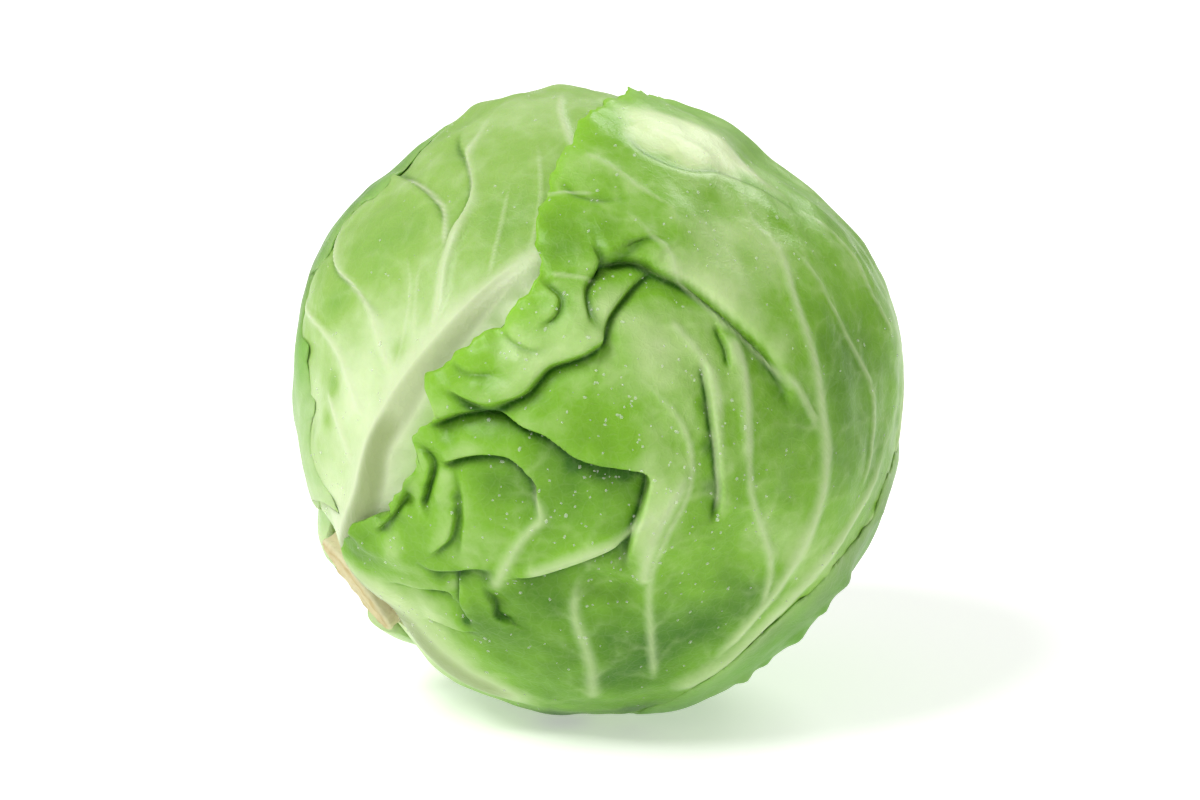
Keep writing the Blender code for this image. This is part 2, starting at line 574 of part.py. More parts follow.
# The leaves from the inside outward. Margins are angles off the stem and turns round it, from base to tip.
LEAVES = [
    Leaf(
        "leaf_crown",
        polar=95,
        azimuth=172,
        left=turned((13, 196), (40, 198), (80, 204), (115, 220), (148, 256)),
        right=turned((13, 122), (40, 116), (80, 110), (115, 104), (148, 82)),
        bulge=0.22,
        rows=22,
        columns=20,
        crowd=((0, 1, 1), (0, 1, 1)),
        share=1,
        stand=0.4 * MM,
        flare=(0, 1 * MM, 0),
        floor=1 * MM,
        ribs=straight_ribs(172, 48, 168),
        pleats=(),
        dimples=(),
        colour=(0.44, 0.66, 0.22),
    ),
    Leaf(
        "leaf_left",
        polar=85,
        azimuth=50,
        left=turned((13, 84), (30, 96), (55, 106), (85, 116), (112, 126), (138, 150)),
        right=turned((13, -22), (30, -6), (50, -4), (67, 2), (83, 3), (98, 6), (117, 20), (134, 38), (150, 62)),
        bulge=0.16,
        rows=34,
        columns=30,
        crowd=((0, 0.75, 1.4), (0.35, 1, 1.3)),
        share=2,
        stand=1.0 * MM,
        flare=(0, 0.6 * MM, 0),
        floor=1 * MM,
        ribs=LEFT_RIBS,
        pleats=(),
        dimples=(),
        colour=(0.52, 0.70, 0.28),
    ),
    Leaf(
        "leaf_front",
        polar=88,
        azimuth=-35,
        left=np.vstack(
            [
                turned((13, -16)),
                front(
                    [
                        (-73, -45.6),
                        (-69.5, -37.4),
                        (-62.8, -32.7),
                        (-54.3, -20.5),
                        (-54.6, -13.7),
                        (-52.3, -8.2),
                        (-48.5, -3.8),
                        (-51.1, 1.2),
                        (-50.3, 6.4),
                        (-43.2, 12.9),
                        (-34.5, 18.1),
                        (-26.3, 24),
                        (-17.2, 33.6),
                        (-18.1, 43.8),
                        (-16.7, 55.5),
                        (-12.9, 66.6),
                        (-6.4, 76.6),
                        (0.9, 84.2),
                    ]
                ),
                turned((140, 92), (152, 116)),
            ]
        ),
        right=turned((13, -160), (30, -164), (55, -166), (85, -166), (115, -160), (140, -152), (155, -150)),
        bulge=0.12,
        rows=58,
        columns=50,
        crowd=((0.16, 0.62, 1.8), (0.46, 1, 1.8)),
        share=2,
        stand=1.8 * MM,
        flare=(0, 1 * MM, 1.2 * MM),
        floor=1.9 * MM,
        ribs=FRONT_RIBS,
        pleats=FRONT_PLEATS,
        dimples=FRONT_DIMPLES,
        colour=(0.36, 0.62, 0.16),
    ),
    Leaf(
        "leaf_back_left",
        polar=75,
        azimuth=145,
        left=turned((13, 186), (40, 184), (80, 186), (104, 186), (122, 180), (132, 166)),
        right=turned(
            (13, 72),
            (23, 54),
            (31, 64),
            (41, 55),
            (50, 64),
            (56, 82),
            (66, 77),
            (75, 80),
            (83, 79),
            (98, 86),
            (114, 102),
            (128, 124),
            (134, 146),
        ),
        bulge=0.05,
        rows=22,
        columns=22,
        crowd=((0, 1, 1), (0, 1, 1)),
        share=1,
        stand=0.2 * MM,
        flare=(2.0 * MM, 1.6 * MM, 0),
        floor=1 * MM,
        ribs=straight_ribs(145, 46, 138),
        pleats=(),
        dimples=(),
        colour=(0.30, 0.55, 0.14),
    ),
    Leaf(
        "leaf_back_right",
        polar=78,
        azimuth=-150,
        left=turned(
            (13, -112),
            (30, -106),
            (45, -100),
            (54, -95),
            (60, -84),
            (68, -75),
            (78, -70),
            (91, -63),
            (101, -62),
            (108, -66),
            (117, -63),
            (127, -68),
            (136, -84),
            (140, -112),
        ),
        right=turned((13, -200), (40, -206), (80, -210), (104, -207), (124, -196), (136, -176), (140, -156)),
        bulge=0.05,
        rows=22,
        columns=22,
        crowd=((0, 1, 1), (0, 1, 1)),
        share=1,
        stand=0.2 * MM,
        flare=(1.6 * MM, 1.6 * MM, 2.4 * MM),
        floor=0 * MM,
        ribs=straight_ribs(-151, 46, 138),
        pleats=(),
        dimples=(),
        colour=(0.28, 0.52, 0.13),
    ),
]


def material(name, colour, roughness):
    made = bpy.data.materials.new(name)
    made.use_nodes = True
    surface = made.node_tree.nodes["Principled BSDF"]
    surface.inputs["Base Color"].default_value = (*colour, 1)
    surface.inputs["Roughness"].default_value = roughness
    surface.inputs["Metallic"].default_value = 0
    made.diffuse_color = (*colour, 1)
    return made


def add_piece(name, points, faces, colour, roughness=0.42):
    mesh = bpy.data.meshes.new(name)
    mesh.from_pydata(points.tolist(), [], [tuple(face) for face in faces])
    shell = bmesh.new()
    shell.from_mesh(mesh)
    if shell.calc_volume(signed=True) < 0:
        bmesh.ops.reverse_faces(shell, faces=shell.faces)
    shell.to_mesh(mesh)
    shell.free()
    mesh.materials.append(material(name, colour, roughness))
    piece = bpy.data.objects.new(name, mesh)
    bpy.context.scene.collection.objects.link(piece)
    return piece


def main():
    for old in list(bpy.data.objects):
        bpy.data.objects.remove(old, do_unlink=True)
    shapes = [("stem", *lay_stem(), (0.55, 0.42, 0.24), 0.8), ("heart", *lay_heart(), (0.56, 0.72, 0.34), 0.45)]
    placed = []
    for leaf in LEAVES:
        points, faces, samples = lay_leaf(leaf, placed)
        placed.append(samples)
        shapes.append((leaf.name, points, faces, leaf.colour, 0.42))
    everything = np.vstack([points for _, points, *_ in shapes])
    low, high = everything.min(axis=0), everything.max(axis=0)
    shift = np.array([-(low[0] + high[0]) / 2, -(low[1] + high[1]) / 2, -low[2]])
    for name, points, faces, colour, roughness in shapes:
        add_piece(name, points + shift, faces, colour, roughness)
    print("centre", shift, "size", high - low, "triangles", sum(len(s[2]) for s in shapes))


main()
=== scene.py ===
"""Green cabbage head lying on its side, with dew on its leaves.

Every surface is worked out round the head's centre. A leaf is a patch of the head between two margins. It
lies on whatever is already placed under it, its folds and ribs are functions of the distance to a path over
the head, and its grid becomes a closed blade with an outer face, an inner face and a thin edge.
"""

import json
import math
from collections import namedtuple

import bpy
import numpy as np
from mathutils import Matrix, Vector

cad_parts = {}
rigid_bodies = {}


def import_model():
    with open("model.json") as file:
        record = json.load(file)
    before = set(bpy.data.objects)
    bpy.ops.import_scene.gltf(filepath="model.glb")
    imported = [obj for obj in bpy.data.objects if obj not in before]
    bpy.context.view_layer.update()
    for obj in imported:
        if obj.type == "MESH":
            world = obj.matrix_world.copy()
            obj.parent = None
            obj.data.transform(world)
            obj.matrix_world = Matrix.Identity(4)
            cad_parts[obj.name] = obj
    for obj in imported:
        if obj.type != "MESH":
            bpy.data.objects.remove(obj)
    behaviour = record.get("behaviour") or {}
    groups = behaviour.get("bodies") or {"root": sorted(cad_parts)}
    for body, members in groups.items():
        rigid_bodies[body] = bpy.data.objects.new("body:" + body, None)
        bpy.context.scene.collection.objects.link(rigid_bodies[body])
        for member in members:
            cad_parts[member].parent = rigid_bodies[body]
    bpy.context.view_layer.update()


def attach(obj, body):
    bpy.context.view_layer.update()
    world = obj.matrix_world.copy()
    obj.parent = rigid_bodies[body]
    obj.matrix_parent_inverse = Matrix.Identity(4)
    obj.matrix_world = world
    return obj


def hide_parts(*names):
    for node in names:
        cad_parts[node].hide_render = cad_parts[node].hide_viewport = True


bl_info = {
    "name": "Cabbage head",
    "version": (1, 0, 0),
    "blender": (4, 5, 0),
    "location": "3D View > Sidebar > Cabbage",
    "description": "Builds a green cabbage head leaf by leaf, with its cut stem, dew and a plain studio",
    "category": "Add Mesh",
}

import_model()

MM = 0.001
HEAD_CENTRE = np.array([0.312, -1.555, 90.0]) * MM  # which sets the head's box over the frame's middle
HEAD_RADIUS = 90 * MM
HEART_RADIUS = 83.6 * MM
STEM_RADIUS = 16.6 * MM
STEM_SEAT = 81.8 * MM  # from the head's centre to where the stem stands on the heart
STEM_CUT = 90 * MM
STEM_GAP = 0.5 * MM
REST_HEIGHT = HEAD_CENTRE[2]

VIEW_DISTANCE = 1600 * MM
VIEW_RADIUS = 91 * MM  # of the ball that the front view's points are set on
VIEW_TILT = math.radians(14)
VIEW_WIDTH = 350.6 * MM  # what the frame spans at the head's centre
RIGHT = np.array([1.0, 0.0, 0.0])
UP = np.array([0.0, math.sin(VIEW_TILT), math.cos(VIEW_TILT)])
TOWARD = np.array([0.0, -math.cos(VIEW_TILT), math.sin(VIEW_TILT)])

BED_CELLS = 240  # across the square -2 to 2 of a leaf's plane
VEIN_CELLS = 640
TWIG_STEPS = 60
FINE = 4  # cells of a leaf's outer face along each cell of its inner face
MARGIN_ROUNDS = 300  # of smoothing, which take a margin's small turns out of the rows farther in
RIB_TRIM = np.array([0.95, 0.85]) * MM  # on the front view's widths and heights of ribs, in millimetres

Rib = namedtuple("Rib", "path widths heights pale crest")
Fold = namedtuple("Fold", "path side drop reach fades soft lip")
Spot = namedtuple("Spot", "place radius amount edge", defaults=[2])
Drape = namedtuple("Drape", "air reach softness snug")

# A leaf's plane touches the head at polar and azimuth, in degrees. Its rows run from the right margin to the
# left and arch by the bulge. Cells, crowd and seeds set the grid and its ripples. Drape is how it lies: the air
# under it as a share of the leaf gap, the cells by which its bed is widened and blurred, and how closely its
# margins follow what they lie on. Stand is how far it keeps off its bed, flare how far its right side, tip and
# left side do, and floor the air under it where the head rests. Twigs are the finer veins' angle in degrees,
# length and spacing.
# Tones are spots of the leaf's own paler and deeper colour and spots of painted light: painted highlight and
# painted shade.
Leaf = namedtuple(
    "Leaf",
    "name kind polar azimuth left right bulge cells crowd seeds drape stand flare floor ribs twigs"
    " folds humps tones ruffles",
    defaults=[(), (), (), ()],
)


def unit(vectors):
    """Vectors divided by their lengths."""
    return vectors / np.linalg.norm(vectors, axis=-1, keepdims=True)


# The stem points down and to the left of the front view. Turns round it go from the front to the upper left.
STEM = unit(-0.79 * RIGHT - 0.60 * UP + 0.12 * TOWARD)
FRONT = unit(TOWARD - (TOWARD @ STEM) * STEM)
SIDE = np.cross(STEM, FRONT)
DOWN = np.array([0.0, 0.0, -1.0])
BASE_ANGLE = math.asin((STEM_RADIUS + STEM_GAP) / (HEART_RADIUS - 2 * MM))


# Directions and paths over the head


def direction(polar, azimuth):
    """Unit vectors at an angle from the stem and a turn round it, both in radians."""
    polar = np.asarray(polar, float)[..., None]
    azimuth = np.asarray(azimuth, float)[..., None]
    return np.cos(polar) * STEM + np.sin(polar) * (np.cos(azimuth) * FRONT + np.sin(azimuth) * SIDE)


def turned(*points):
    """Directions from degrees off the stem and degrees of turn round it."""
    polar, azimuth = np.radians(points).T
    return direction(polar, azimuth)


def front(points, flap=1.0):
    """Directions of front-view points in millimetres: the line from the eye through each meets the head.

    The head is taken as a ball 2 mm smaller at the left and 4.5 mm larger at the flap over the midrib, by
    bells 36 and 24 mm wide, as the leaves stand there.
    """
    eye = TOWARD * VIEW_DISTANCE
    flat = np.asarray(points, float) * MM
    fuller = -2 * MM * np.exp(-(((flat - np.array([-90, 5]) * MM) / (36 * MM)) ** 2).sum(axis=1))
    fuller += 4.5 * MM * flap * np.exp(-(((flat - np.array([-45, 8]) * MM) / (24 * MM)) ** 2).sum(axis=1))
    ray = flat[:, :1] * RIGHT + flat[:, 1:] * UP - eye
    a = (ray**2).sum(axis=1)
    b = 2 * ray @ eye
    root = np.sqrt(np.maximum(b**2 - 4 * a * (VIEW_DISTANCE**2 - (VIEW_RADIUS + fuller) ** 2), 0))
    return unit(eye + ((-b - root) / (2 * a))[:, None] * ray)


def smooth_path(points, spans=5):
    """A Catmull-Rom curve through directions, with this many steps from each to the next."""
    ends = np.vstack([2 * points[0] - points[1], points, 2 * points[-1] - points[-2]])
    p0, p1, p2, p3 = (ends[i : len(ends) - 3 + i][:, None, :] for i in range(4))
    t = (np.arange(spans) / spans)[None, :, None]
    bend = (2 * p0 - 5 * p1 + 4 * p2 - p3) * t**2 + (3 * p1 - p0 - 3 * p2 + p3) * t**3
    made = (2 * p1 + (p2 - p0) * t + bend) / 2
    return unit(np.vstack([made.reshape(-1, 3), points[-1:]]))


def ease(low, high, value):
    """0 below low, 1 above high, and the smooth step 3t^2 - 2t^3 between them."""
    t = np.clip((value - low) / (high - low), 0, 1)
    return t * t * (3 - 2 * t)


def near_path(dirs, path, reach):
    """The directions within reach of a path, with their distance, side, share passed and the way to its left.

    On each leg from a to b the nearest point is the foot of the perpendicular, held between the leg's ends,
    and the leg with the least distance counts. The share passed is the mean of the legs' shares, each
    weighted by its length and by exp(-how much farther it is / 1.2 mm), so it has no jump inside a bend. The
    way to the left is the unit cross product of a and b.
    """
    a, leg = path[:-1], np.diff(path, axis=0)
    middle = unit(path.mean(axis=0))
    spread = np.arccos(np.clip(path @ middle, -1, 1)).max() + reach / HEAD_RADIUS
    near = np.flatnonzero(dirs @ middle > math.cos(min(spread, math.pi)))
    n = dirs[near]
    squares = (leg**2).sum(axis=1)
    ahead = n @ leg.T - (a * leg).sum(axis=1)
    foot = np.clip(ahead / squares, 0, 1)
    gaps = 2 - 2 * n @ a.T - 2 * foot * ahead + foot**2 * squares
    best = gaps.argmin(axis=1)
    rows = np.arange(len(near))
    gap = np.sqrt(np.maximum(gaps[rows, best], 0)) * HEAD_RADIUS
    left = unit(np.cross(a, path[1:]))[best]
    side = np.where((n * left).sum(axis=1) < 0, -1.0, 1.0)
    spans = np.sqrt(squares)
    starts = np.concatenate([[0], np.cumsum(spans)])
    behind = np.sqrt(np.maximum(gaps, 0)) * HEAD_RADIUS - gap[:, None]
    weight = np.exp(-behind / (1.2 * MM)) * spans
    share = (weight * (starts[:-1] + foot * spans)).sum(axis=1) / weight.sum(axis=1) / starts[-1]
    return near, gap, side, share, left


def ripple(dirs, wavelength, seed):
    """Unevenness near -1 to 1: a third of the sum of six sine waves of one length in seeded directions."""
    chance = np.random.default_rng(seed)
    waves = unit(chance.normal(size=(6, 3))) * math.tau * HEAD_RADIUS / wavelength
    phases = chance.uniform(0, math.tau, 6)
    return np.sin(dirs @ waves.T + phases).sum(axis=-1) / 3


def calm(dirs):
    """0 on the spot that the head rests on, rising to 1 outside it."""
    return ease(20 * MM, 34 * MM, np.linalg.norm(dirs - DOWN, axis=1) * HEAD_RADIUS)


def spots_sum(dirs, spots):
    """The sum of round humps: each is its amount times exp(-(distance / radius)^edge)."""
    total = np.zeros(len(dirs))
    for spot in spots:
        gap = np.linalg.norm(dirs - spot.place, axis=1) * HEAD_RADIUS
        total += spot.amount * np.exp(-((gap / spot.radius) ** spot.edge))
    return total


def rib_relief(dirs, ribs, height_factor):
    """The rise of ribs, how pale they are, and how near they are for the blade beside them.

    A rib's rise is its height times exp(-(distance / width)^crest), and the highest counts. Its paleness is
    such a bell 1.1 widths wide. Ribs narrower than 4 mm give 0.4 of it to a bell 0.5 widths wide, a line
    along their crest, and start from nothing over their first tenth. Nearness is a bell whose width is 1.5 mm
    and 4.8 / crest widths. Every rib fades over the last three tenths of its way.
    """
    rise = np.zeros(len(dirs))
    pale = np.zeros(len(dirs))
    wide = np.zeros(len(dirs))
    for rib in ribs:
        near, gap, _, share, _ = near_path(dirs, rib.path, 7 * max(rib.widths))
        width = rib.widths[0] + (rib.widths[1] - rib.widths[0]) * share
        height = rib.heights[0] + (rib.heights[1] - rib.heights[0]) * share
        line = 0.4 if rib.widths[0] < 4 * MM else 0
        end = ease(-0.001, 0.25 * line, share) * (1 - ease(0.7, 1, share))
        bell = np.exp(-((gap / width) ** rib.crest)) * end
        rise[near] = np.maximum(rise[near], height_factor * height * bell)
        soft = (1 - line) * np.exp(-((gap / (1.1 * width)) ** rib.crest))
        soft += line * np.exp(-((gap / (0.5 * width)) ** 2))
        pale[near] = np.maximum(pale[near], rib.pale * soft * end)
        halo = 4.8 / rib.crest * width + 1.5 * MM
        wide[near] = np.maximum(wide[near], min(rib.pale, 1) * np.exp(-((gap / halo) ** 2)) * end)
    return rise, pale, wide


def fold_relief(dirs, folds):
    """Folds where the blade laps over itself: their rise, slide sideways, creases and shade.

    Across a fold the rise is its drop times tanh(distance / softness), dying away exponentially on each side.
    The crest slides over the low side by the lip times a bell of the distance, which makes an overhang, and
    the distance is counted from three quarters of the lip inside the path, so the overhang ends on the path.
    A fold is as deep as its drop over 4.4 mm. Its crease is painted shade, a bell 1 mm wide just below the
    path.
    Its shade is painted as well: shadow that darkens the low side, dying away exponentially, and a highlight
    that lightens the crest by a bell 1.4 mm wide.
    """
    rise = np.zeros(len(dirs))
    slide = np.zeros((len(dirs), 3))
    crease = np.zeros(len(dirs))
    shade = np.zeros(len(dirs))
    for fold in folds:
        near, gap, side, share, left = near_path(dirs, fold.path, 4 * max(fold.reach))
        start, end = fold.fades
        fade = ease(0, start, share) * (1 - ease(1 - end, 1, share))
        seen = gap * side * fold.side
        s = seen - 0.75 * fold.lip * fade
        high, low = fold.reach
        far = math.exp(-4)
        dying = np.where(s > 0, 0.42 * (np.exp(-s / high) - far), 0.5 * (np.exp(s / (0.7 * low)) - far))
        rise[near] += fold.drop * fade * np.tanh(s / fold.soft) * np.maximum(dying, 0)
        crest = np.exp(-(((s - 0.7 * MM) / (1.5 * MM)) ** 2))
        slide[near] -= (fold.lip * fade * crest * fold.side)[:, None] * left
        # Painted into the leaf's colour: dark shade in the crease, shadow on the low side and a highlight on
        # the lip
        depth = fade * min(abs(fold.drop) / (4.4 * MM), 1.15)
        crease[near] += depth * np.exp(-(((seen + 0.7 * MM) / (1.0 * MM)) ** 2))
        bright = 0.14 * np.exp(-(((s - 1.6 * MM) / (1.4 * MM)) ** 2))
        shaded = -0.7 * np.exp(np.minimum(seen, 0) / (0.28 * low))
        shade[near] += depth * (shaded + (bright - shaded) * ease(-0.8 * MM, 0.8 * MM, s))
    return rise, slide, crease, shade


def heart_level(dirs):
    """How far the tight inner head stands above its mean radius, cut off flat where the stem stands on it."""
    level = spots_sum(dirs, SWELLS) + 0.35 * MM * ripple(dirs, 60 * MM, 3)
    seat = STEM_SEAT / np.maximum(dirs @ STEM, 0.1)
    return np.minimum(HEART_RADIUS + level, seat) - HEART_RADIUS


# A leaf's plane


def leaf_axes(leaf):
    """The middle of a leaf's plane, the way round the stem and the way to the leaf's tip."""
    polar, azimuth = math.radians(leaf.polar), math.radians(leaf.azimuth)
    middle = direction(polar, azimuth)
    around = math.cos(azimuth) * SIDE - math.sin(azimuth) * FRONT
    return middle, around, np.cross(around, middle)


def to_plane(leaf, dirs):
    """The equal-area plane: a direction lies its chord's length from the middle, on its own bearing."""
    middle, around, onward = leaf_axes(leaf)
    reach = np.linalg.norm(dirs - middle, axis=-1)
    flat = np.stack([dirs @ around, dirs @ onward], axis=-1)
    return flat * (reach / np.maximum(np.linalg.norm(flat, axis=-1), 1e-9))[..., None]


def from_plane(leaf, flat):
    """The way back: a point at chord c from the middle is turned by twice the arcsine of c / 2."""
    middle, around, onward = leaf_axes(leaf)
    reach = np.linalg.norm(flat, axis=-1)
    turn = 2 * np.arcsin(np.clip(reach / 2, 0, 1))
    across = (flat[..., :1] * around + flat[..., 1:] * onward) / np.maximum(reach, 1e-9)[..., None]
    return np.cos(turn)[..., None] * middle + np.sin(turn)[..., None] * across


def clear_of_stem(dirs):
    """Directions eased off the stem: an angle becomes the root of its square plus the base angle's square."""
    polar = np.arccos(np.clip(dirs @ STEM, -1, 1))
    pushed = np.sqrt(polar**2 + (BASE_ANGLE * (1 - polar / math.pi)) ** 2)
    return direction(pushed, np.arctan2(dirs @ SIDE, dirs @ FRONT))


def widen(level, reach):
    """Each cell takes the greatest value within some cells round it."""
    wide = level.copy()
    steps = range(-reach, reach + 1)
    for down, across in ((j, i) for j in steps for i in steps if i * i + j * j <= reach**2):
        wide = np.maximum(wide, np.roll(level, (down, across), axis=(0, 1)))
    return wide


def blur(cells, softness, beyond="wrap"):
    """Cells blurred by a bell this many cells wide, each way in turn.

    Past the edges the cells wrap round, or the outermost ones carry on where beyond is "edge".
    """
    span = math.ceil(3 * softness)
    weights = np.exp(-0.5 * (np.arange(-span, span + 1) / softness) ** 2)
    weights /= weights.sum()
    for axis in (0, 1):
        padded = np.pad(cells, [(span, span) if k == axis else (0, 0) for k in (0, 1)], mode=beyond)
        last = np.arange(cells.shape[axis]) + 2 * span
        cells = sum(w * np.take(padded, last - i, axis=axis) for i, w in enumerate(weights))
    return cells


def read_cells(leaf, cells, dirs):
    """A picture of the leaf's plane read at directions, blended between the four nearest cells."""
    size = len(cells)
    place = np.clip((to_plane(leaf, dirs) + 2) * size / 4 - 0.5, 0, size - 1.001)
    cell = place.astype(int)
    u, v = (place - cell).T
    i, j = cell.T
    low = cells[j, i] * (1 - u) + cells[j, i + 1] * u
    high = cells[j + 1, i] * (1 - u) + cells[j + 1, i + 1] * u
    return low * (1 - v) + high * v


def mesh_vectors(items, key):
    """The vectors that a mesh keeps under one name, as an array."""
    vectors = np.empty(len(items) * 3, np.float32)
    items.foreach_get(key, vectors)
    return vectors.reshape(-1, 3)


def lay_bed(leaf):
    """What a leaf lies on, as cells: the highest of the heart and the leaves made, as it is and blurred."""
    axis = (np.arange(BED_CELLS) + 0.5) * 4 / BED_CELLS - 2
    flat = np.stack(np.meshgrid(axis, axis), axis=-1).reshape(-1, 2)
    level = heart_level(from_plane(leaf, flat)).reshape(BED_CELLS, BED_CELLS)
    for piece in (item for item in bpy.data.objects if item.get("layer")):
        points = mesh_vectors(piece.data.vertices, "co") - HEAD_CENTRE
        radius = np.linalg.norm(points, axis=1)
        flat = to_plane(leaf, points / radius[:, None])
        cell = np.clip((flat + 2) * BED_CELLS / 4, 0, BED_CELLS - 1).astype(int)
        np.maximum.at(level, (cell[:, 1], cell[:, 0]), radius - HEART_RADIUS)
    level = widen(level, 1)
    return level, blur(widen(level, leaf.drape.reach), leaf.drape.softness)


def along(path, shares):
    """Points of a path at shares of its length."""
    spans = np.linalg.norm(np.diff(path, axis=0), axis=1)
    passed = np.concatenate([[0], np.cumsum(spans)]) / spans.sum()
    return np.stack([np.interp(shares, passed, path[:, k]) for k in range(path.shape[1])], axis=-1)


def spacing(cells, crowd):
    """Shares from 0 to 1 that lie closer together, by a factor, over one stretch of the way."""
    start, end, factor = crowd
    fine = np.linspace(0, 1, 801)
    inside = ease(start - 0.06, start + 0.06, fine) * (1 - ease(end - 0.06, end + 0.06, fine))
    density = 1 + (factor - 1) * inside
    passed = np.concatenate([[0], np.cumsum((density[1:] + density[:-1]) / 2)])
    return np.interp(np.linspace(0, 1, cells + 1), passed / passed[-1], fine)


def frayed(margin, amount, seed):
    """A margin with small notches: it moves across itself by a few sines of the length passed."""
    chance = np.random.default_rng(seed)
    passed = np.concatenate([[0], np.cumsum(np.linalg.norm(np.diff(margin, axis=0), axis=1))]) * HEAD_RADIUS
    fine = np.linspace(0, passed[-1], 600)
    line = np.stack([np.interp(fine, passed, margin[:, k]) for k in (0, 1)], axis=-1)
    wobble = sum(
        size * np.sin(math.tau * fine / (period * MM) + chance.uniform(0, math.tau))
        for period, size in ((21, 0.5), (11.3, 0.45), (6.1, 0.3), (3.7, 0.14))
    )
    way = unit(np.gradient(line, axis=0))
    calm_ends = ease(0, 0.08, fine / fine[-1]) * (1 - ease(0.95, 1, fine / fine[-1]))
    return line + (amount * wobble * calm_ends / HEAD_RADIUS)[:, None] * way[:, ::-1] * (1, -1)


def smoother(line, rounds):
    """A line whose points have each moved, round by round, halfway to the middle of their neighbours."""
    line = line.copy()
    for _ in range(rounds):
        line[1:-1] = line[1:-1] / 2 + (line[:-2] + line[2:]) / 4
    return line


def leaf_grid(leaf, fray):
    """The leaf's grid of directions, how far its right side, tip and left side are, and the share of the way.

    Each row is the straight line in the leaf's plane between its two margins, taken smoother, and arched
    towards the tip by the bulge times the share of the way squared. Near a margin the row bends to meet the
    real one, by how far the two lie apart times exp(-distance / 9 mm).
    """
    margins = [
        frayed(to_plane(leaf, smooth_path(points)), fray, seed + leaf.seeds[0])
        for points, seed in ((leaf.right, 1), (leaf.left, 2))
    ]
    t = spacing(leaf.cells[0], leaf.crowd[0])
    u = spacing(leaf.cells[1], leaf.crowd[1])
    right, left = (along(margin, t) for margin in margins)
    smooth_right, smooth_left = (smoother(margin, MARGIN_ROUNDS) for margin in (right, left))
    flat = smooth_right[:, None] + (smooth_left - smooth_right)[:, None] * u[None, :, None]
    flat[..., 1] += leaf.bulge * t[:, None] ** 2 * (1 - (2 * u[None, :] - 1) ** 2)
    width = np.linalg.norm(left - right, axis=-1)[:, None] * HEAD_RADIUS
    flat += (left - smooth_left)[:, None] * np.exp(-(1 - u) * width / (9 * MM))[..., None]
    flat += (right - smooth_right)[:, None] * np.exp(-u * width / (9 * MM))[..., None]
    length = np.linalg.norm(flat[-1, len(u) // 2] - flat[0, len(u) // 2]) * HEAD_RADIUS
    edges = np.broadcast_arrays(u * width, (1 - t[:, None]) * length, (1 - u) * width)
    edges = [edge.ravel() for edge in edges]
    return clear_of_stem(from_plane(leaf, flat)), edges, np.repeat(t, len(u))


def twig_veins(leaf):
    """The finer veins as cells: side branches leave each rib in turn, bend towards the tip and branch again.

    A branch is a short arc whose bearing turns evenly, with a slight sway, set into the cells and blurred.
    """
    chance = np.random.default_rng(leaf.seeds[0])
    cells = np.zeros((VEIN_CELLS, VEIN_CELLS))
    spread, reach, gap = leaf.twigs
    lines = [(to_plane(leaf, rib.path), 1.0, reach) for rib in leaf.ribs]
    for closer in (1, 0.62):
        made = []
        for line, strength, length in lines:
            spans = np.linalg.norm(np.diff(line, axis=0), axis=1).sum() * HEAD_RADIUS
            count = int(spans / (gap * closer))
            if count < 1:
                continue
            shares = (np.arange(count) + chance.uniform(0.3, 0.7, count)) / count
            starts = along(line, shares)
            way = along(line, np.minimum(shares + 0.02, 1)) - along(line, np.maximum(shares - 0.02, 0))
            turn = math.radians(spread) * chance.uniform(0.75, 1.2, count)
            turn = turn * np.where(np.arange(count) % 2, 1, -1)
            bearing = np.arctan2(way[:, 1], way[:, 0])[:, None] + turn[:, None]
            steps = np.linspace(0, 1, TWIG_STEPS)[None, :]
            sway = 0.16 * np.sin(9 * steps + chance.uniform(0, 6, count)[:, None])
            bearing = bearing - turn[:, None] * 0.55 * steps + sway
            size = (length * chance.uniform(0.6, 1.25, count) / HEAD_RADIUS)[:, None, None] / TWIG_STEPS
            heading = np.stack([np.cos(bearing), np.sin(bearing)], axis=-1)
            track = starts[:, None, :] + np.cumsum(heading * size, axis=1)
            fade = 0.62 * strength * (1 - 0.75 * steps) * np.ones((count, 1))
            cell = np.clip((track + 2) * VEIN_CELLS / 4, 0, VEIN_CELLS - 1).astype(int)
            np.maximum.at(cells, (cell[..., 1].ravel(), cell[..., 0].ravel()), fade.ravel())
            made += [(one, 0.7 * strength, 0.5 * length) for one in track]
        lines = made
    return np.minimum(blur(cells, 0.95) * 2.4, 1)


# Grids into closed blades


def between(grid, finer):
    """A grid of values or points with this many cells, each way, in place of each cell."""
    rows, columns = grid.shape[:2]
    grid = grid.reshape(rows, columns, -1)
    t = np.linspace(0, rows - 1, (rows - 1) * finer + 1)
    u = np.linspace(0, columns - 1, (columns - 1) * finer + 1)
    j = np.minimum(t.astype(int), rows - 2)
    i = np.minimum(u.astype(int), columns - 2)
    v = (t - j)[:, None, None]
    w = (u - i)[None, :, None]
    low = grid[j][:, i] * (1 - w) + grid[j][:, i + 1] * w
    high = grid[j + 1][:, i] * (1 - w) + grid[j + 1][:, i + 1] * w
    return (low * (1 - v) + high * v).squeeze()


def lowest_near(values, reach):
    """The least value within some cells each way."""
    rows, columns = values.shape
    padded = np.pad(values, reach, mode="edge")
    low = values
    for j in range(2 * reach + 1):
        low = np.minimum(low, padded[j : j + rows, reach : reach + columns])
    padded = np.pad(low, reach, mode="edge")
    for i in range(2 * reach + 1):
        low = np.minimum(low, padded[reach : reach + rows, i : i + columns])
    return low


def shorter_ways(points):
    """For each cell of a grid, whether its second diagonal is the shorter."""
    first = np.linalg.norm(points[1:, 1:] - points[:-1, :-1], axis=-1)
    second = np.linalg.norm(points[1:, :-1] - points[:-1, 1:], axis=-1)
    return second < first


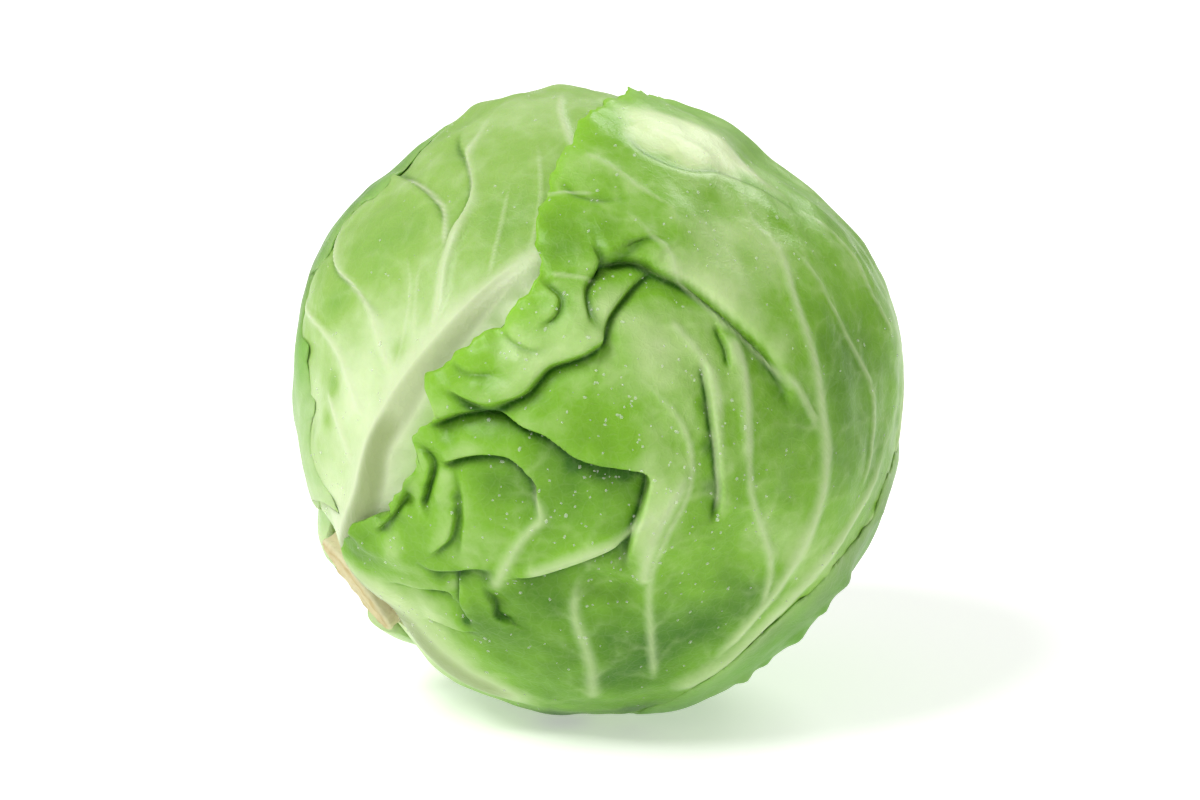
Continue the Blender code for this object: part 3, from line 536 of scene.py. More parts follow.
def cell_faces(index, outward, second):
    """Two triangles for each cell of a grid, split along its first diagonal, or its second where asked."""
    a, b, c, d = (v.ravel() for v in (index[:-1, :-1], index[:-1, 1:], index[1:, 1:], index[1:, :-1]))
    second = np.broadcast_to(second, index[1:, 1:].shape).ravel()[:, None]
    lower = np.where(second, np.stack([a, d, b], axis=1), np.stack([a, c, b], axis=1))
    upper = np.where(second, np.stack([b, d, c], axis=1), np.stack([a, d, c], axis=1))
    faces = np.vstack([lower, upper])
    return faces if outward else faces[:, ::-1]


def capped_faces(rows, columns, outward):
    """Triangles of rings of points, closed by two more points: the middles of the first and the last ring."""
    index = np.arange(rows * columns).reshape(rows, columns)
    index = np.hstack([index, index[:, :1]])
    first, last = (np.full(columns, rows * columns + k) for k in (0, 1))
    faces = np.vstack(
        [
            cell_faces(index, True, False),
            np.stack([first, index[0, :-1], index[0, 1:]], axis=1),
            np.stack([last, index[-1, 1:], index[-1, :-1]], axis=1),
        ]
    )
    return faces if outward else faces[:, ::-1]


def rim_faces(upper, lower):
    """A blade's edge: each side of an inner cell meets as many sides of the outer grid as it spans."""
    rounds = []
    for index in (upper, lower):
        rounds.append(np.concatenate([index[0, :-1], index[:-1, -1], index[-1, :0:-1], index[:0:-1, 0]]))
    fine, start = rounds
    end = np.roll(start, -1)
    chain = [fine[(FINE * np.arange(len(start)) + k) % len(fine)] for k in range(FINE + 1)]
    faces = [np.stack([chain[0], chain[1], start], axis=1)]
    faces += [np.stack([chain[k], chain[k + 1], end], axis=1) for k in range(1, FINE)]
    faces.append(np.stack([start, chain[1], end], axis=1))
    return np.vstack(faces)


def new_piece(name, points, faces, material, values=None):
    """A smooth mesh object from arrays of points and faces, with a named value for each point where given."""
    mesh = bpy.data.meshes.new(name)
    mesh.vertices.add(len(points))
    mesh.vertices.foreach_set("co", np.asarray(points, np.float32).ravel())
    mesh.loops.add(faces.size)
    mesh.loops.foreach_set("vertex_index", faces.astype(np.int32).ravel())
    mesh.polygons.add(len(faces))
    mesh.polygons.foreach_set("loop_start", np.arange(0, faces.size, faces.shape[1], dtype=np.int32))
    mesh.polygons.foreach_set("use_smooth", np.ones(len(faces), bool))
    for key, value in (values or {}).items():
        mesh.attributes.new(key, "FLOAT", "POINT").data.foreach_set("value", np.asarray(value, np.float32))
    mesh.update()
    if mesh.validate(verbose=False):
        raise RuntimeError(f"{name}: its faces needed repair")
    mesh.materials.append(material)
    piece = bpy.data.objects.new(name, mesh)
    bpy.context.scene.collection.objects.link(piece)
    return piece


def leaf_lift(leaf, look, dirs, edges, onward, wide, folds):
    """How far a leaf stands off its bed.

    It is the sum of its stand, which grows from 0.3 of it to all of it over the first quarter, a ripple 34 mm
    long, puckers 15 and 7 mm long that fade beside the ribs, the folds and the humps. The margins add flare
    times exp(-distance / 7 mm) and ruffles times exp(-distance / 9 mm), each with ripples of its own.
    """
    seed, wave_seed = leaf.seeds
    edge = np.min(edges, axis=0)
    lift = leaf.stand * (0.3 + 0.7 * ease(0, 0.25, onward)) + 0.6 * MM * ripple(dirs, 34 * MM, seed)
    pucker = ripple(dirs, 15 * MM, seed + 5) + 0.45 * ripple(dirs, 7 * MM, seed + 6)
    lift += look.pucker * pucker * (1 - 0.8 * wide)
    lift += look.fold_depth * folds + spots_sum(dirs, leaf.humps)
    flare = np.max([reach * np.exp(-gap / (7 * MM)) for reach, gap in zip(leaf.flare, edges)], axis=0)
    fine_wave = 0.55 * ripple(dirs, 8.5 * MM, wave_seed + 7) * np.exp(-edge / (4 * MM))
    lift += free_share(onward) * flare * (0.35 + 0.9 * ripple(dirs, 17 * MM, wave_seed) + fine_wave)
    loose = spots_sum(dirs, leaf.ruffles) * np.exp(-edge / (9 * MM))
    waves = 0.2 + 0.8 * ripple(dirs, 13 * MM, wave_seed + 3) + 0.4 * ripple(dirs, 6 * MM, wave_seed + 4)
    return lift + loose * waves


def free_share(onward):
    """How free of the stem a leaf is: 0 by its base, rising to 1 before the middle of its way."""
    return ease(0.12, 0.45, onward)


def lay_leaf(leaf, look, material):
    """Makes one leaf. Its outer face is the bed, the air gap, the lift, the blade's thickness and the ribs.

    By the margins of a snug leaf, exp(-distance / 7 mm) of the bed is what lies right under it, 0.8 mm lower.
    The lift is softly kept above 0 as s * log(1 + exp(lift / s)), where s is 0.4 mm. The inner face follows
    the lowest lift near it. Both faces rise where what lies under them would come through, and neither goes
    lower than the leaf's floor.
    """
    grid, edges, onward = leaf_grid(leaf, look.fray)
    shape = grid.shape[:2]
    dirs = grid.reshape(-1, 3)
    covered, bed = lay_bed(leaf)
    quiet = calm(dirs)
    edge = np.min(edges, axis=0)
    snug = leaf.drape.snug * np.exp(-edge / (7 * MM))
    level = (1 - snug) * (read_cells(leaf, bed, dirs) + look.leaf_gap * leaf.drape.air)
    level += snug * (read_cells(leaf, blur(covered, 1), dirs) - 0.8 * MM)
    ribs, pale, wide = rib_relief(dirs, leaf.ribs, look.rib_height)
    folds, slide, crease, shade = fold_relief(dirs, leaf.folds)
    twigs = read_cells(leaf, twig_veins(leaf), dirs)
    lift = leaf_lift(leaf, look, dirs, edges, onward, wide, folds) * (quiet * (1 - 0.9 * snug))
    softness = 0.4 * MM
    lift = softness * np.logaddexp(0, lift / softness) - softness * math.log(2) * (1 - quiet)
    relief = (ribs + look.vein_height * twigs) * quiet
    thickness = look.leaf_thickness * (0.45 + 0.55 * (1 - np.exp(-edge / (5 * MM))))
    level += (look.leaf_thickness - thickness) * (1 - snug)
    level, lift, relief, thickness = (v.reshape(shape) for v in (level, lift, relief, thickness))
    outer = HEART_RADIUS + level + lift + relief + thickness
    inner = outer - relief - thickness - (lift - lowest_near(lift, FINE))
    coarse = (slice(None, None, FINE), slice(None, None, FINE))
    under = grid[coarse] * inner[coarse][..., None]
    radius = np.linalg.norm(under.reshape(-1, 3), axis=1)
    air = 0.15 * MM - 1.2 * MM * snug.reshape(shape)[coarse].ravel()
    lack = np.maximum(read_cells(leaf, covered, grid[coarse].reshape(-1, 3)) + HEART_RADIUS + air - radius, 0)
    lack = widen(lack.reshape(under.shape[:2]), 1)
    lack = between(blur(lack, 0.6), FINE)
    fall = np.maximum(-grid[..., 2], 0.05)
    outer = np.minimum(outer + lack, (REST_HEIGHT - leaf.floor) / fall)
    inner = np.minimum(inner + lack, (REST_HEIGHT - leaf.floor - 0.8 * MM) / fall)
    slide = slide.reshape(grid.shape)
    top = grid * outer[..., None] + slide * (quiet.reshape(shape) * look.fold_depth)[..., None]
    under = (grid * inner[..., None] + 0.6 * slide)[coarse]
    upper_index = np.arange(outer.size).reshape(shape)
    lower_index = outer.size + np.arange(under[..., 0].size).reshape(under.shape[:2])
    faces = np.vstack(
        [
            cell_faces(upper_index, True, shorter_ways(top)),
            cell_faces(lower_index, False, shorter_ways(under)),
            rim_faces(upper_index, lower_index),
        ]
    )
    polar = np.degrees(np.arccos(np.clip(dirs @ STEM, -1, 1)))
    base = np.exp(-np.maximum(polar - 12, 0) / 9)
    values = {
        # Painted cavity shade: crests painted paler and hollows darker
        "crest": np.clip((outer - blur(outer, 5, "edge")) / (1.2 * MM), -1, 1),
        # Rib values above 1 paint olive: partly the widest ribs' own colour and partly painted shade
        "rib": np.clip(pale, 0, 2),
        "near": np.clip(wide, 0, 1),
        "vein": np.clip(twigs, 0, 1),
        # Painted shade in the creases
        "crease": np.clip(crease, 0, 1.2),
        "edge": np.exp(-edge / (5 * MM)) * free_share(onward),
        # Holds the leaf's own paler and deeper spots and pale base, painted spots of highlight and shade, and
        # the folds' painted shadow and highlight
        "tone": spots_sum(dirs, leaf.tones) + base + look.fold_shade * np.clip(shade, -1.4, 0.6),
    }
    values = {
        key: np.concatenate([value.reshape(shape).ravel(), value.reshape(shape)[coarse].ravel()])
        for key, value in values.items()
    }
    points = np.vstack([top.reshape(-1, 3), under.reshape(-1, 3)]) + HEAD_CENTRE
    piece = new_piece(leaf.name + "_blade", points, faces, material, values)
    piece["layer"] = 1
    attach(piece, "root")
    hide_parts(leaf.name)
    return piece


# What the leaves are


def front_path(points, flap=1.0):
    """A smooth path over the head through points of the front view, in millimetres."""
    return smooth_path(front(points, flap))


def front_rib(points, widths, heights, pale=0.9, crest=2, flap=1.0):
    """A rib through front-view points. Widths and heights are in millimetres at its start and its end."""
    wide, high = RIB_TRIM
    return Rib(front_path(points, flap), np.multiply(widths, wide), np.multiply(heights, high), pale, crest)


def left_rib(points, widths, heights, pale=0.9, crest=2):
    """A rib of the left leaf, which lies under the flap."""
    return front_rib(points, widths, heights, pale, crest, flap=0.0)


def front_fold(side, drop, points, reach, lip, fades=(0.2, 0.2), soft=0.8):
    """A fold through front-view points, in millimetres. Its side is 1 where the left of travel is high."""
    return Fold(front_path(points), side, drop * MM, np.multiply(reach, MM), fades, soft * MM, lip * MM)


def front_spots(*rows, scale=1.0):
    """Round spots: each row is a front-view point, a radius in millimetres, an amount and an edge."""
    return tuple(
        Spot(front([(x, y)])[0], radius * MM, amount * scale, *edge) for x, y, radius, amount, *edge in rows
    )


def straight_ribs(azimuth, spread, ends, start=16):
    """A midrib on the far side, and side ribs that leave it in turn and run out to the margins.

    A side rib is turned from the midrib by its spread times k^0.8 as k goes from 0 to 1, and its polar angle
    grows evenly.
    """
    middle = turned(*[(polar, azimuth) for polar in np.linspace(start, ends, 12)])
    ribs = [Rib(middle, np.array([7.5, 1.6]) * MM, np.array([4.2, 0.7]) * MM, 1.0, 2.6)]
    for n, polar in enumerate(np.linspace(start + 9, ends - 16, 9)):
        way = 1 if n % 2 else -1
        out = spread * 0.85
        points = [(polar + out * k * 0.62, azimuth + way * out * k**0.8) for k in np.linspace(0.02, 1, 6)]
        side = smooth_path(turned(*points))
        ribs.append(Rib(side, np.array([2.4, 1.1]) * MM, np.array([1.3, 0.4]) * MM, 0.85, 2))
    return tuple(ribs)


def far_rib(azimuth, sway, begin, ends):
    """A side rib round the back of a leaf: it sways from its azimuth by a sine of the polar angle."""
    polar = np.linspace(begin, ends, 9)
    turn = azimuth + sway * np.sin(np.radians(2.2 * (polar - 70)))
    middle = smooth_path(turned(*zip(polar, turn)))
    return Rib(middle, np.array([2.4, 1.2]) * MM, np.array([1.2, 0.5]) * MM, 0.85, 2)


# Degrees off the stem and of turn, then the radius and the rise in millimetres
SWELLS = tuple(
    Spot(turned((polar, azimuth))[0], radius * MM, rise * MM)
    for polar, azimuth, radius, rise in (
        (112, 76, 34, 6.2),
        (152, 72, 35, -7.2),
        (66, 82, 26, 5.4),
        (20, 52, 26, 2.4),
        (51, -88, 40, 4.8),
        (26, -92, 24, 3.4),
        (118, -84, 24, -1.2),
        (160, -72, 26, 2.6),
    )
)

LOOSE = Drape(air=1, reach=2, softness=2.8, snug=0)
SNUG = Drape(air=0.3, reach=1, softness=1.6, snug=1)

CROWN_LEAF = Leaf(
    name="leaf_crown",
    kind="inner",
    polar=95,
    azimuth=172,
    left=turned((13, 196), (40, 198), (80, 204), (115, 220), (148, 256)),
    right=turned((13, 122), (40, 116), (80, 110), (115, 104), (148, 82)),
    bulge=0.22,
    cells=(120, 100),
    crowd=((0.5, 1, 1.6), (0, 1, 1)),
    seeds=(22, 20),
    drape=LOOSE,
    stand=0.4 * MM,
    flare=(0, 1 * MM, 0),
    floor=1 * MM,
    ribs=straight_ribs(172, 48, 168),
    twigs=(58, 15 * MM, 9 * MM),
)

# The midrib, its olive body and the olive of its lower part, partly the rib's own colour and partly painted
# shade, its branches, and thin ribs between them
LEFT_RIBS = (
    left_rib(
        [(-73, -48), (-69.9, -31), (-67.9, -20), (-64, -10), (-60.2, 0), (-55.4, 8), (-47.5, 18.4),
         (-36.4, 29), (-22.3, 40.6), (-12, 48.6), (2, 58.6), (18, 68)],
        widths=(10.4, 2.8), heights=(4.8, 1.4), pale=1.0, crest=2.2,
    ),
    left_rib(
        [(-73, -48), (-70.6, -37), (-68.9, -30), (-67.6, -22.6), (-65.6, -13.1), (-60.3, -3.6), (-54.4, 6),
         (-47, 15.4), (-39, 24.9), (-31.5, 33), (-24, 39.6), (-14, 47.4), (-2, 56)],
        widths=(8.8, 2.4), heights=(0, 0), pale=1.5, crest=4,
    ),
    left_rib(
        [(-75, -56), (-73, -48), (-70.6, -37), (-68.9, -30), (-67.6, -22.6), (-65.6, -13.1), (-60.3, -3.6),
         (-54.4, 6), (-47, 15.4)],
        widths=(8.8, 4), heights=(0, 0), pale=1.9, crest=4,
    ),
    left_rib(
        [(-51.1, 13.1), (-49.1, 29.2), (-47, 42.7), (-41.8, 54.6), (-38, 63.7), (-38.6, 72.5),
         (-33.9, 79.8), (-27.8, 85.3)],
        widths=(2.6, 1.1), heights=(1.7, 0.6),
    ),
    left_rib(
        [(-47, 46), (-47.6, 57.6), (-50.3, 61.4), (-54.6, 64.3), (-60.2, 65.7)],
        widths=(1.5, 0.9), heights=(0.9, 0.4),
    ),
    left_rib(
        [(-61.9, 6.7), (-66.3, 16.9), (-69.3, 26.6), (-72.8, 34.2), (-75.7, 38.6), (-75.7, 43.8),
         (-73.6, 50.8), (-70.1, 56.4)],
        widths=(2.4, 1.0), heights=(1.4, 0.5),
    ),
    left_rib(
        [(-69.5, -7.3), (-73.9, 4.4), (-77.4, 13.1), (-81.2, 20.5), (-84.4, 26.9), (-84.2, 33.6)],
        widths=(2.2, 1), heights=(1.3, 0.4),
    ),
    left_rib(
        [(-73.6, -20.5), (-76.6, -10.2), (-79.5, -1.5), (-82.4, 4.4)],
        widths=(2.2, 1), heights=(1.2, 0.4),
    ),
    left_rib(
        [(-2, 56), (-2.9, 67.2), (-7.6, 75.4), (-10.5, 81.5), (-11.7, 85.6), (-9.9, 90)],
        widths=(1.8, 1), heights=(1.1, 0.5),
    ),
    left_rib(
        [(-66, -14), (-63, 4), (-60, 22), (-58, 38), (-60, 50)],
        widths=(1.2, 0.8), heights=(0.5, 0.2), pale=0.5,
    ),
    left_rib([(-55, 8), (-57, 24), (-56, 36), (-53, 46)], widths=(1.2, 0.8), heights=(0.5, 0.2), pale=0.5),
    left_rib(
        [(-36, 27.5), (-33, 42), (-30, 56), (-26, 70)],
        widths=(1.3, 0.8), heights=(0.55, 0.25), pale=0.55,
    ),
    left_rib(
        [(-24, 37), (-20, 52), (-18, 66), (-19, 80)],
        widths=(1.3, 0.8), heights=(0.55, 0.25), pale=0.55,
    ),
)

# The blade's creases beside the two upper branches and a lower one
LEFT_FOLDS = (
    front_fold(
        -1, 2.7,
        [(-46.6, 44), (-46, 50), (-41.6, 57), (-38.8, 64), (-38.8, 70), (-41.3, 75.5), (-40, 79)],
        reach=(3.5, 5), lip=0.9,
    ),
    front_fold(
        1, 2.4,
        [(-48.2, 50), (-48.4, 55), (-50.6, 60), (-55.6, 64.2), (-62, 66.4)],
        reach=(3.5, 5), lip=0.9,
    ),
    front_fold(
        -1, 2.2,
        [(-67.5, 26), (-73, 34.5), (-76.4, 38.5), (-76.2, 45), (-73, 53)],
        reach=(3, 5), lip=0.9,
    ),
)

LEFT_LEAF = Leaf(
    name="leaf_left",
    kind="pale",
    polar=85,
    azimuth=50,
    left=turned((13, 84), (30, 96), (55, 106), (85, 116), (112, 126), (138, 150)),
    right=turned((13, -22), (30, -6), (50, -4), (67, 2), (83, 3), (98, 6), (117, 20), (134, 38), (150, 62)),
    bulge=0.16,
    cells=(232, 200),
    crowd=((0, 0.8, 1.2), (0.2, 1, 1.2)),
    seeds=(34, 30),
    drape=LOOSE,
    stand=1.0 * MM,
    flare=(0, 0.6 * MM, 0),
    floor=1 * MM,
    ribs=LEFT_RIBS,
    twigs=(58, 14 * MM, 8 * MM),
    folds=LEFT_FOLDS,
    humps=front_spots(
        (-42, 79.5, 5, -1.4), (-34.5, 84.5, 4.5, 1.5), (-61.5, 65, 4, 1.0), (-57.5, 69, 3.5, -0.9),
        (-53, 72, 4, 0.7), (-18, 89, 5, -0.7), (-12, 90, 4, 0.6), (-30, 56, 12, -1.0), (-60, 30, 9, -1.0),
        (-66, 50, 8, 0.8),
        scale=MM,
    ),
    tones=front_spots(
        (-62, 22, 26, 0.5), (-74, -6, 20, 0.6), (-78, 28, 6, -0.5), (-80, 5, 4, -0.7), (-81, -6, 3, -0.5),
        (-63, 16, 4, -0.5), (-60, 38, 7, -0.15), (-27, 27, 3.6, 1.6), (-35.5, 20.5, 2.6, 1.2),
        (-21.5, 35, 3, 1.2), (-30, 52, 16, -0.25), (-60, 52, 14, -0.3), (-86, 0, 14, 0.35),
        (-42, 17, 8, 0.9), (-62, -30, 9, 0.8), (-78, -28, 12, 0.5),
    ),
)

# The pale band along the bottom, the ribs of the right half, those of the crumple, the flap's and the back's
FRONT_RIBS = (
    # The pale band's olive middle is partly its own colour and partly painted shade
    front_rib(
        [(-70, -52), (-66.5, -57.6), (-59, -65.8), (-44.3, -76.9), (-27.5, -84.6), (-12, -88.2)],
        widths=(9.4, 5), heights=(1.8, 1.2), pale=1.7, crest=3,
    ),
    front_rib(
        [(26.3, -82.7), (40.9, -75), (61.4, -55.5), (76, -38), (84.7, -20), (87.5, -4)],
        widths=(5, 2), heights=(2, 0.8),
    ),
    front_rib(
        [(30, -80), (35, -76), (46.8, -64.3), (58.4, -49.1), (66, -30.7), (68.1, -14.6), (65.7, 1.5),
         (61.4, 17.5), (57.6, 30.7), (54, 43.8), (45.9, 54), (40, 64), (33, 72)],
        widths=(3.6, 1.4), heights=(1.7, 0.7), pale=0.95,
    ),
    front_rib(
        [(39.5, 21), (41.5, 15), (42.8, 8), (43.4, -2), (43.4, -12), (43.2, -26)],
        widths=(2.6, 1.6), heights=(1.7, 0.6), pale=0.95,
    ),
    front_rib(
        [(20, 24), (26.4, 17.5), (32, 10.4), (34.4, 3.7), (35.6, -4), (36.4, -12)],
        widths=(1.9, 1.0), heights=(1.0, 0.3), pale=0.8,
    ),
    front_rib(
        [(40, -73), (43.2, -70.1), (49.7, -58.4), (51.1, -46.8), (45.9, -32.1), (43.8, -23.4),
         (44.4, -8.8), (43.2, 7.3), (39.4, 18.1)],
        widths=(2.2, 1.2), heights=(1.0, 0.5), pale=0.8,
    ),
    front_rib(
        [(67.8, -11.7), (58.4, 4.4), (48.2, 14.6), (36.5, 24.8), (24.8, 35.6), (16.1, 45.3), (6.4, 54),
         (0.9, 59.6)],
        widths=(1.6, 1.2), heights=(0.9, 0.6), pale=0.9,
    ),
    front_rib(
        [(16.1, -84), (15.2, -70.1), (14.6, -55.5), (18.1, -42.4), (25.7, -27.8), (26.9, -16.1),
         (23.4, -5.8), (16.1, 2.3), (7.3, 10.2), (0, 16.1)],
        widths=(2.1, 1.1), heights=(1.0, 0.5), pale=0.75,
    ),
    front_rib(
        [(-1.9, -86.6), (-3, -77.3), (-7.1, -66.9), (-7.6, -59.6), (-5.6, -54.4), (0.1, -50.3)],
        widths=(3.2, 2.0), heights=(0.8, 0.6), pale=0.75,
    ),
    front_rib(
        [(13, -56), (13.7, -47.1), (15.2, -39.9), (18.8, -32.6), (24, -24.3), (28, -16)],
        widths=(2.8, 3.2), heights=(1.6, 2.2), pale=1.0,
    ),
    front_rib(
        [(35.6, -35.1), (35.6, -17.5), (34.5, -2.9), (31.6, 8.8), (26.3, 19), (19, 25.7)],
        widths=(1.7, 1.1), heights=(0.7, 0.4), pale=0.8,
    ),
    front_rib(
        [(78.9, -29.2), (83.3, -8.8), (81.8, 5.8), (74.5, 20.5), (64.3, 38), (55.5, 48.2), (48.2, 54)],
        widths=(1.7, 1.1), heights=(0.9, 0.5), pale=0.8,
    ),
    front_rib(
        [(87.1, 17.5), (81.8, 30.7), (76, 43.8), (67.2, 54), (55.5, 62.8)],
        widths=(1.5, 1), heights=(0.8, 0.4), pale=0.8,
    ),
    front_rib(
        [(-32.1, -57.5), (-30, -53.4), (-27.9, -49.2), (-24.3, -43), (-20.6, -38.8), (-17.6, -35.7),
         (-18.6, -29), (-19.6, -22), (-22, -16)],
        widths=(2.6, 1.8), heights=(1.1, 0.6), pale=0.85,
    ),
    front_rib(
        [(-24, -51.2), (-12, -47.9), (-2, -44.2), (8, -40.4), (14, -35.8), (19, -30), (23.5, -24)],
        widths=(1.6, 1.8), heights=(0.8, 1.1), pale=0.95,
    ),
    front_rib([(-16, 58.5), (-8, 59.5), (0, 59)], widths=(1.1, 0.8), heights=(0.5, 0.3), pale=0.8),
    front_rib([(-13, 35), (-6, 34.6), (0, 34.3)], widths=(1.0, 0.7), heights=(0.4, 0.3), pale=0.7),
    front_rib([(-5, 70), (4, 66), (12, 60), (24, 52)], widths=(1.1, 0.8), heights=(0.5, 0.3), pale=0.7),
    far_rib(-84, 10, 96, 172),
    far_rib(-104, 12, 66, 160),
    far_rib(-122, 14, 64, 178),
    far_rib(-138, 14, 66, 164),
    far_rib(-152, 8, 60, 170),
)

# The large ridge, the folds above it, the two broad laps, the crumple, the middle, and the flap's top
FRONT_FOLDS = (
    front_fold(
        1, 8.5,
        [(-1, 39), (2, 40.1), (7.3, 40.9), (12.6, 39.8), (16.8, 37.4), (26, 34), (35.2, 27.6),
         (43.8, 19.6), (50.4, 12.6), (55, 6), (57.2, -1), (58, -6)],
        reach=(24, 11), fades=(0.06, 0.26), soft=0.9, lip=2.6,
    ),
    front_fold(
        1, 3.0,
        [(-3.4, 35.6), (-1, 39.4), (1.9, 41.9), (7.3, 44.2), (14.4, 46), (21, 45)],
        reach=(5, 3), fades=(0.1, 0.4), soft=0.5, lip=1.6,
    ),
    front_fold(
        -1, 4.4,
        [(13.4, 37.4), (10, 34.4), (7.3, 31.2), (2.4, 24), (0.6, 17.8), (0, 14.4)],
        reach=(6, 9), fades=(0.06, 0.14), soft=0.5, lip=1.8,
    ),
    front_fold(
        -1, 3.2,
        [(-2, 43.7), (-1.9, 37.5), (-4.4, 31.2), (-3.5, 24), (-1.7, 18.7)],
        reach=(5, 4), fades=(0.1, 0.25), soft=0.5, lip=1.3,
    ),
    front_fold(
        -1, 6.4,
        [(0.6, 18.6), (-2.6, 14.2), (-7, 12), (-14.2, 9.7), (-17.8, 6.1), (-21.3, 2.1), (-26.7, -0.1),
         (-33, -0.6), (-38.3, 0.3), (-43, 2.4), (-47, 4)],
        reach=(12, 10), fades=(0.1, 0.22), soft=0.5, lip=1.7,
    ),
    front_fold(
        1, 7.0,
        [(-49.7, -6.8), (-46, -5.4), (-41.9, -3.9), (-34.8, -2.9), (-29, -3.5), (-22.7, -7.7),
         (-16.5, -10), (-12.3, -12.9), (-7.6, -16.5), (-1.9, -18.6), (6.4, -20.1), (12.6, -21.4),
         (14.5, -23.8), (13.7, -28.4), (12.1, -33.6), (10, -38.8), (8.5, -45.1), (7.9, -50.5)],
        reach=(12, 12), fades=(0.04, 0.12), soft=0.5, lip=1.7,
    ),
    front_fold(
        1, 4.8,
        [(-46.5, -18.6), (-40.4, -16.8), (-34.1, -16), (-27.9, -16.5), (-24.3, -18.6), (-21.7, -21.7),
         (-19.4, -25.3), (-18.8, -30.5), (-18, -36.5)],
        reach=(7, 9), fades=(0.1, 0.24), soft=0.5, lip=1.8,
    ),
    front_fold(
        1, 1.8,
        [(-45, -17), (-41.5, -22.7), (-40, -28.4), (-39.8, -35.7), (-40.6, -43), (-41, -48)],
        reach=(5, 4), fades=(0.3, 0.3), soft=1.0, lip=0.4,
    ),
    front_fold(
        -1, 3.8,
        [(-53.6, -13.8), (-51.2, -15.5), (-49.2, -18.6), (-49.6, -22.8), (-50.7, -27.3), (-51.1, -30.3),
         (-49.2, -34.6)],
        reach=(4, 5), fades=(0.2, 0.35), soft=0.5, lip=0.9,
    ),
    front_fold(
        -1, 3.2,
        [(-41.3, -25.6), (-41.7, -29.5), (-42.4, -35.7), (-43.6, -40.1), (-46.1, -42.4), (-48.5, -44.4)],
        reach=(4, 4), fades=(0.5, 0.15), soft=0.45, lip=1.2,
    ),
    front_fold(
        -1, 3.0,
        [(-54.4, -24), (-56, -26.9), (-59.1, -32.9), (-63.6, -37)],
        reach=(4, 4), fades=(0.2, 0.2), soft=0.45, lip=1.3,
    ),
    front_fold(
        1, 3.0,
        [(-53, -45.5), (-50, -49.5), (-44, -50.8), (-38, -50.2), (-31, -51)],
        reach=(5, 5), fades=(0.3, 0.3), soft=0.8, lip=0.6,
    ),
    front_fold(
        1, 3.4,
        [(-62.4, -52.5), (-57.3, -54.1), (-52.3, -56.1), (-46.7, -57.2), (-45, -58.5)],
        reach=(5, 4), fades=(0.5, 0.12), soft=0.5, lip=0.9,
    ),
    front_fold(
        1, 3.2,
        [(-41.9, -50.5), (-41.7, -57.5), (-39.8, -63.7), (-38.3, -66.5)],
        reach=(4, 5), fades=(0.15, 0.2), soft=0.45, lip=0.9,
    ),
    front_fold(
        -1, 3.2,
        [(-36, -54), (-34.1, -58.6), (-32.4, -62), (-31.4, -64.8), (-27.4, -67)],
        reach=(4, 5), fades=(0.55, 0.1), soft=0.45, lip=1.0,
    ),
    front_fold(
        1, 2.8,
        [(-52.5, -66), (-49, -66.4), (-43.5, -68.4), (-36.7, -69.3)],
        reach=(4, 4), fades=(0.25, 0.25), soft=0.5, lip=1.2,
    ),
    front_fold(
        1, 5.0,
        [(-25.6, -53.2), (-19.6, -52.5), (-10.2, -49.6), (-1.9, -46.6), (4.4, -43.8), (8, -41)],
        reach=(4, 9), fades=(0.1, 0.16), soft=0.8, lip=1.4,
    ),
    front_fold(
        1, 4.8,
        [(31, 11.5), (31.4, 7), (32.6, 0.8), (33.3, -5.8), (34.4, -13), (35, -20), (35.7, -28.5),
         (33.6, -37.5)],
        reach=(11, 4.5), fades=(0.1, 0.14), soft=0.45, lip=1.1,
    ),
    front_fold(
        1, 3.8,
        [(36, 22), (36.8, 19.6), (38.4, 15.1), (38.6, 10.4)],
        reach=(4, 4), fades=(0.2, 0.2), soft=0.45, lip=1.3,
    ),
    front_fold(
        -1, 2.6,
        [(-16, 32.4), (-14.4, 31), (-11.4, 28), (-12.6, 23.6), (-16.8, 21)],
        reach=(7, 3), fades=(0.2, 0.25), soft=0.4, lip=0.9,
    ),
    front_fold(
        1, 1.6,
        [(-27.5, 20.4), (-24, 16.8), (-19, 14.6), (-14, 15.6)],
        reach=(5, 4), fades=(0.2, 0.4), soft=0.8, lip=0.6,
    ),
    front_fold(
        1, 1.6,
        [(-43, 11.5), (-39, 8.6), (-33, 8), (-28, 9.4)],
        reach=(5, 4), fades=(0.2, 0.4), soft=0.8, lip=0.6,
    ),
    front_fold(
        -1, 1.8,
        [(-12, 62), (-7, 58), (1, 56), (9, 57)],
        reach=(8, 6), fades=(0.2, 0.4), soft=1.6, lip=0.2,
    ),
    front_fold(
        -1, 2.0,
        [(6, 78), (10, 72.5), (18, 68.5), (27, 66.5), (36, 67.5), (44, 66), (55, 61.5), (66, 53)],
        reach=(9, 9), fades=(0.2, 0.3), soft=1.8, lip=0.3,
    ),
)

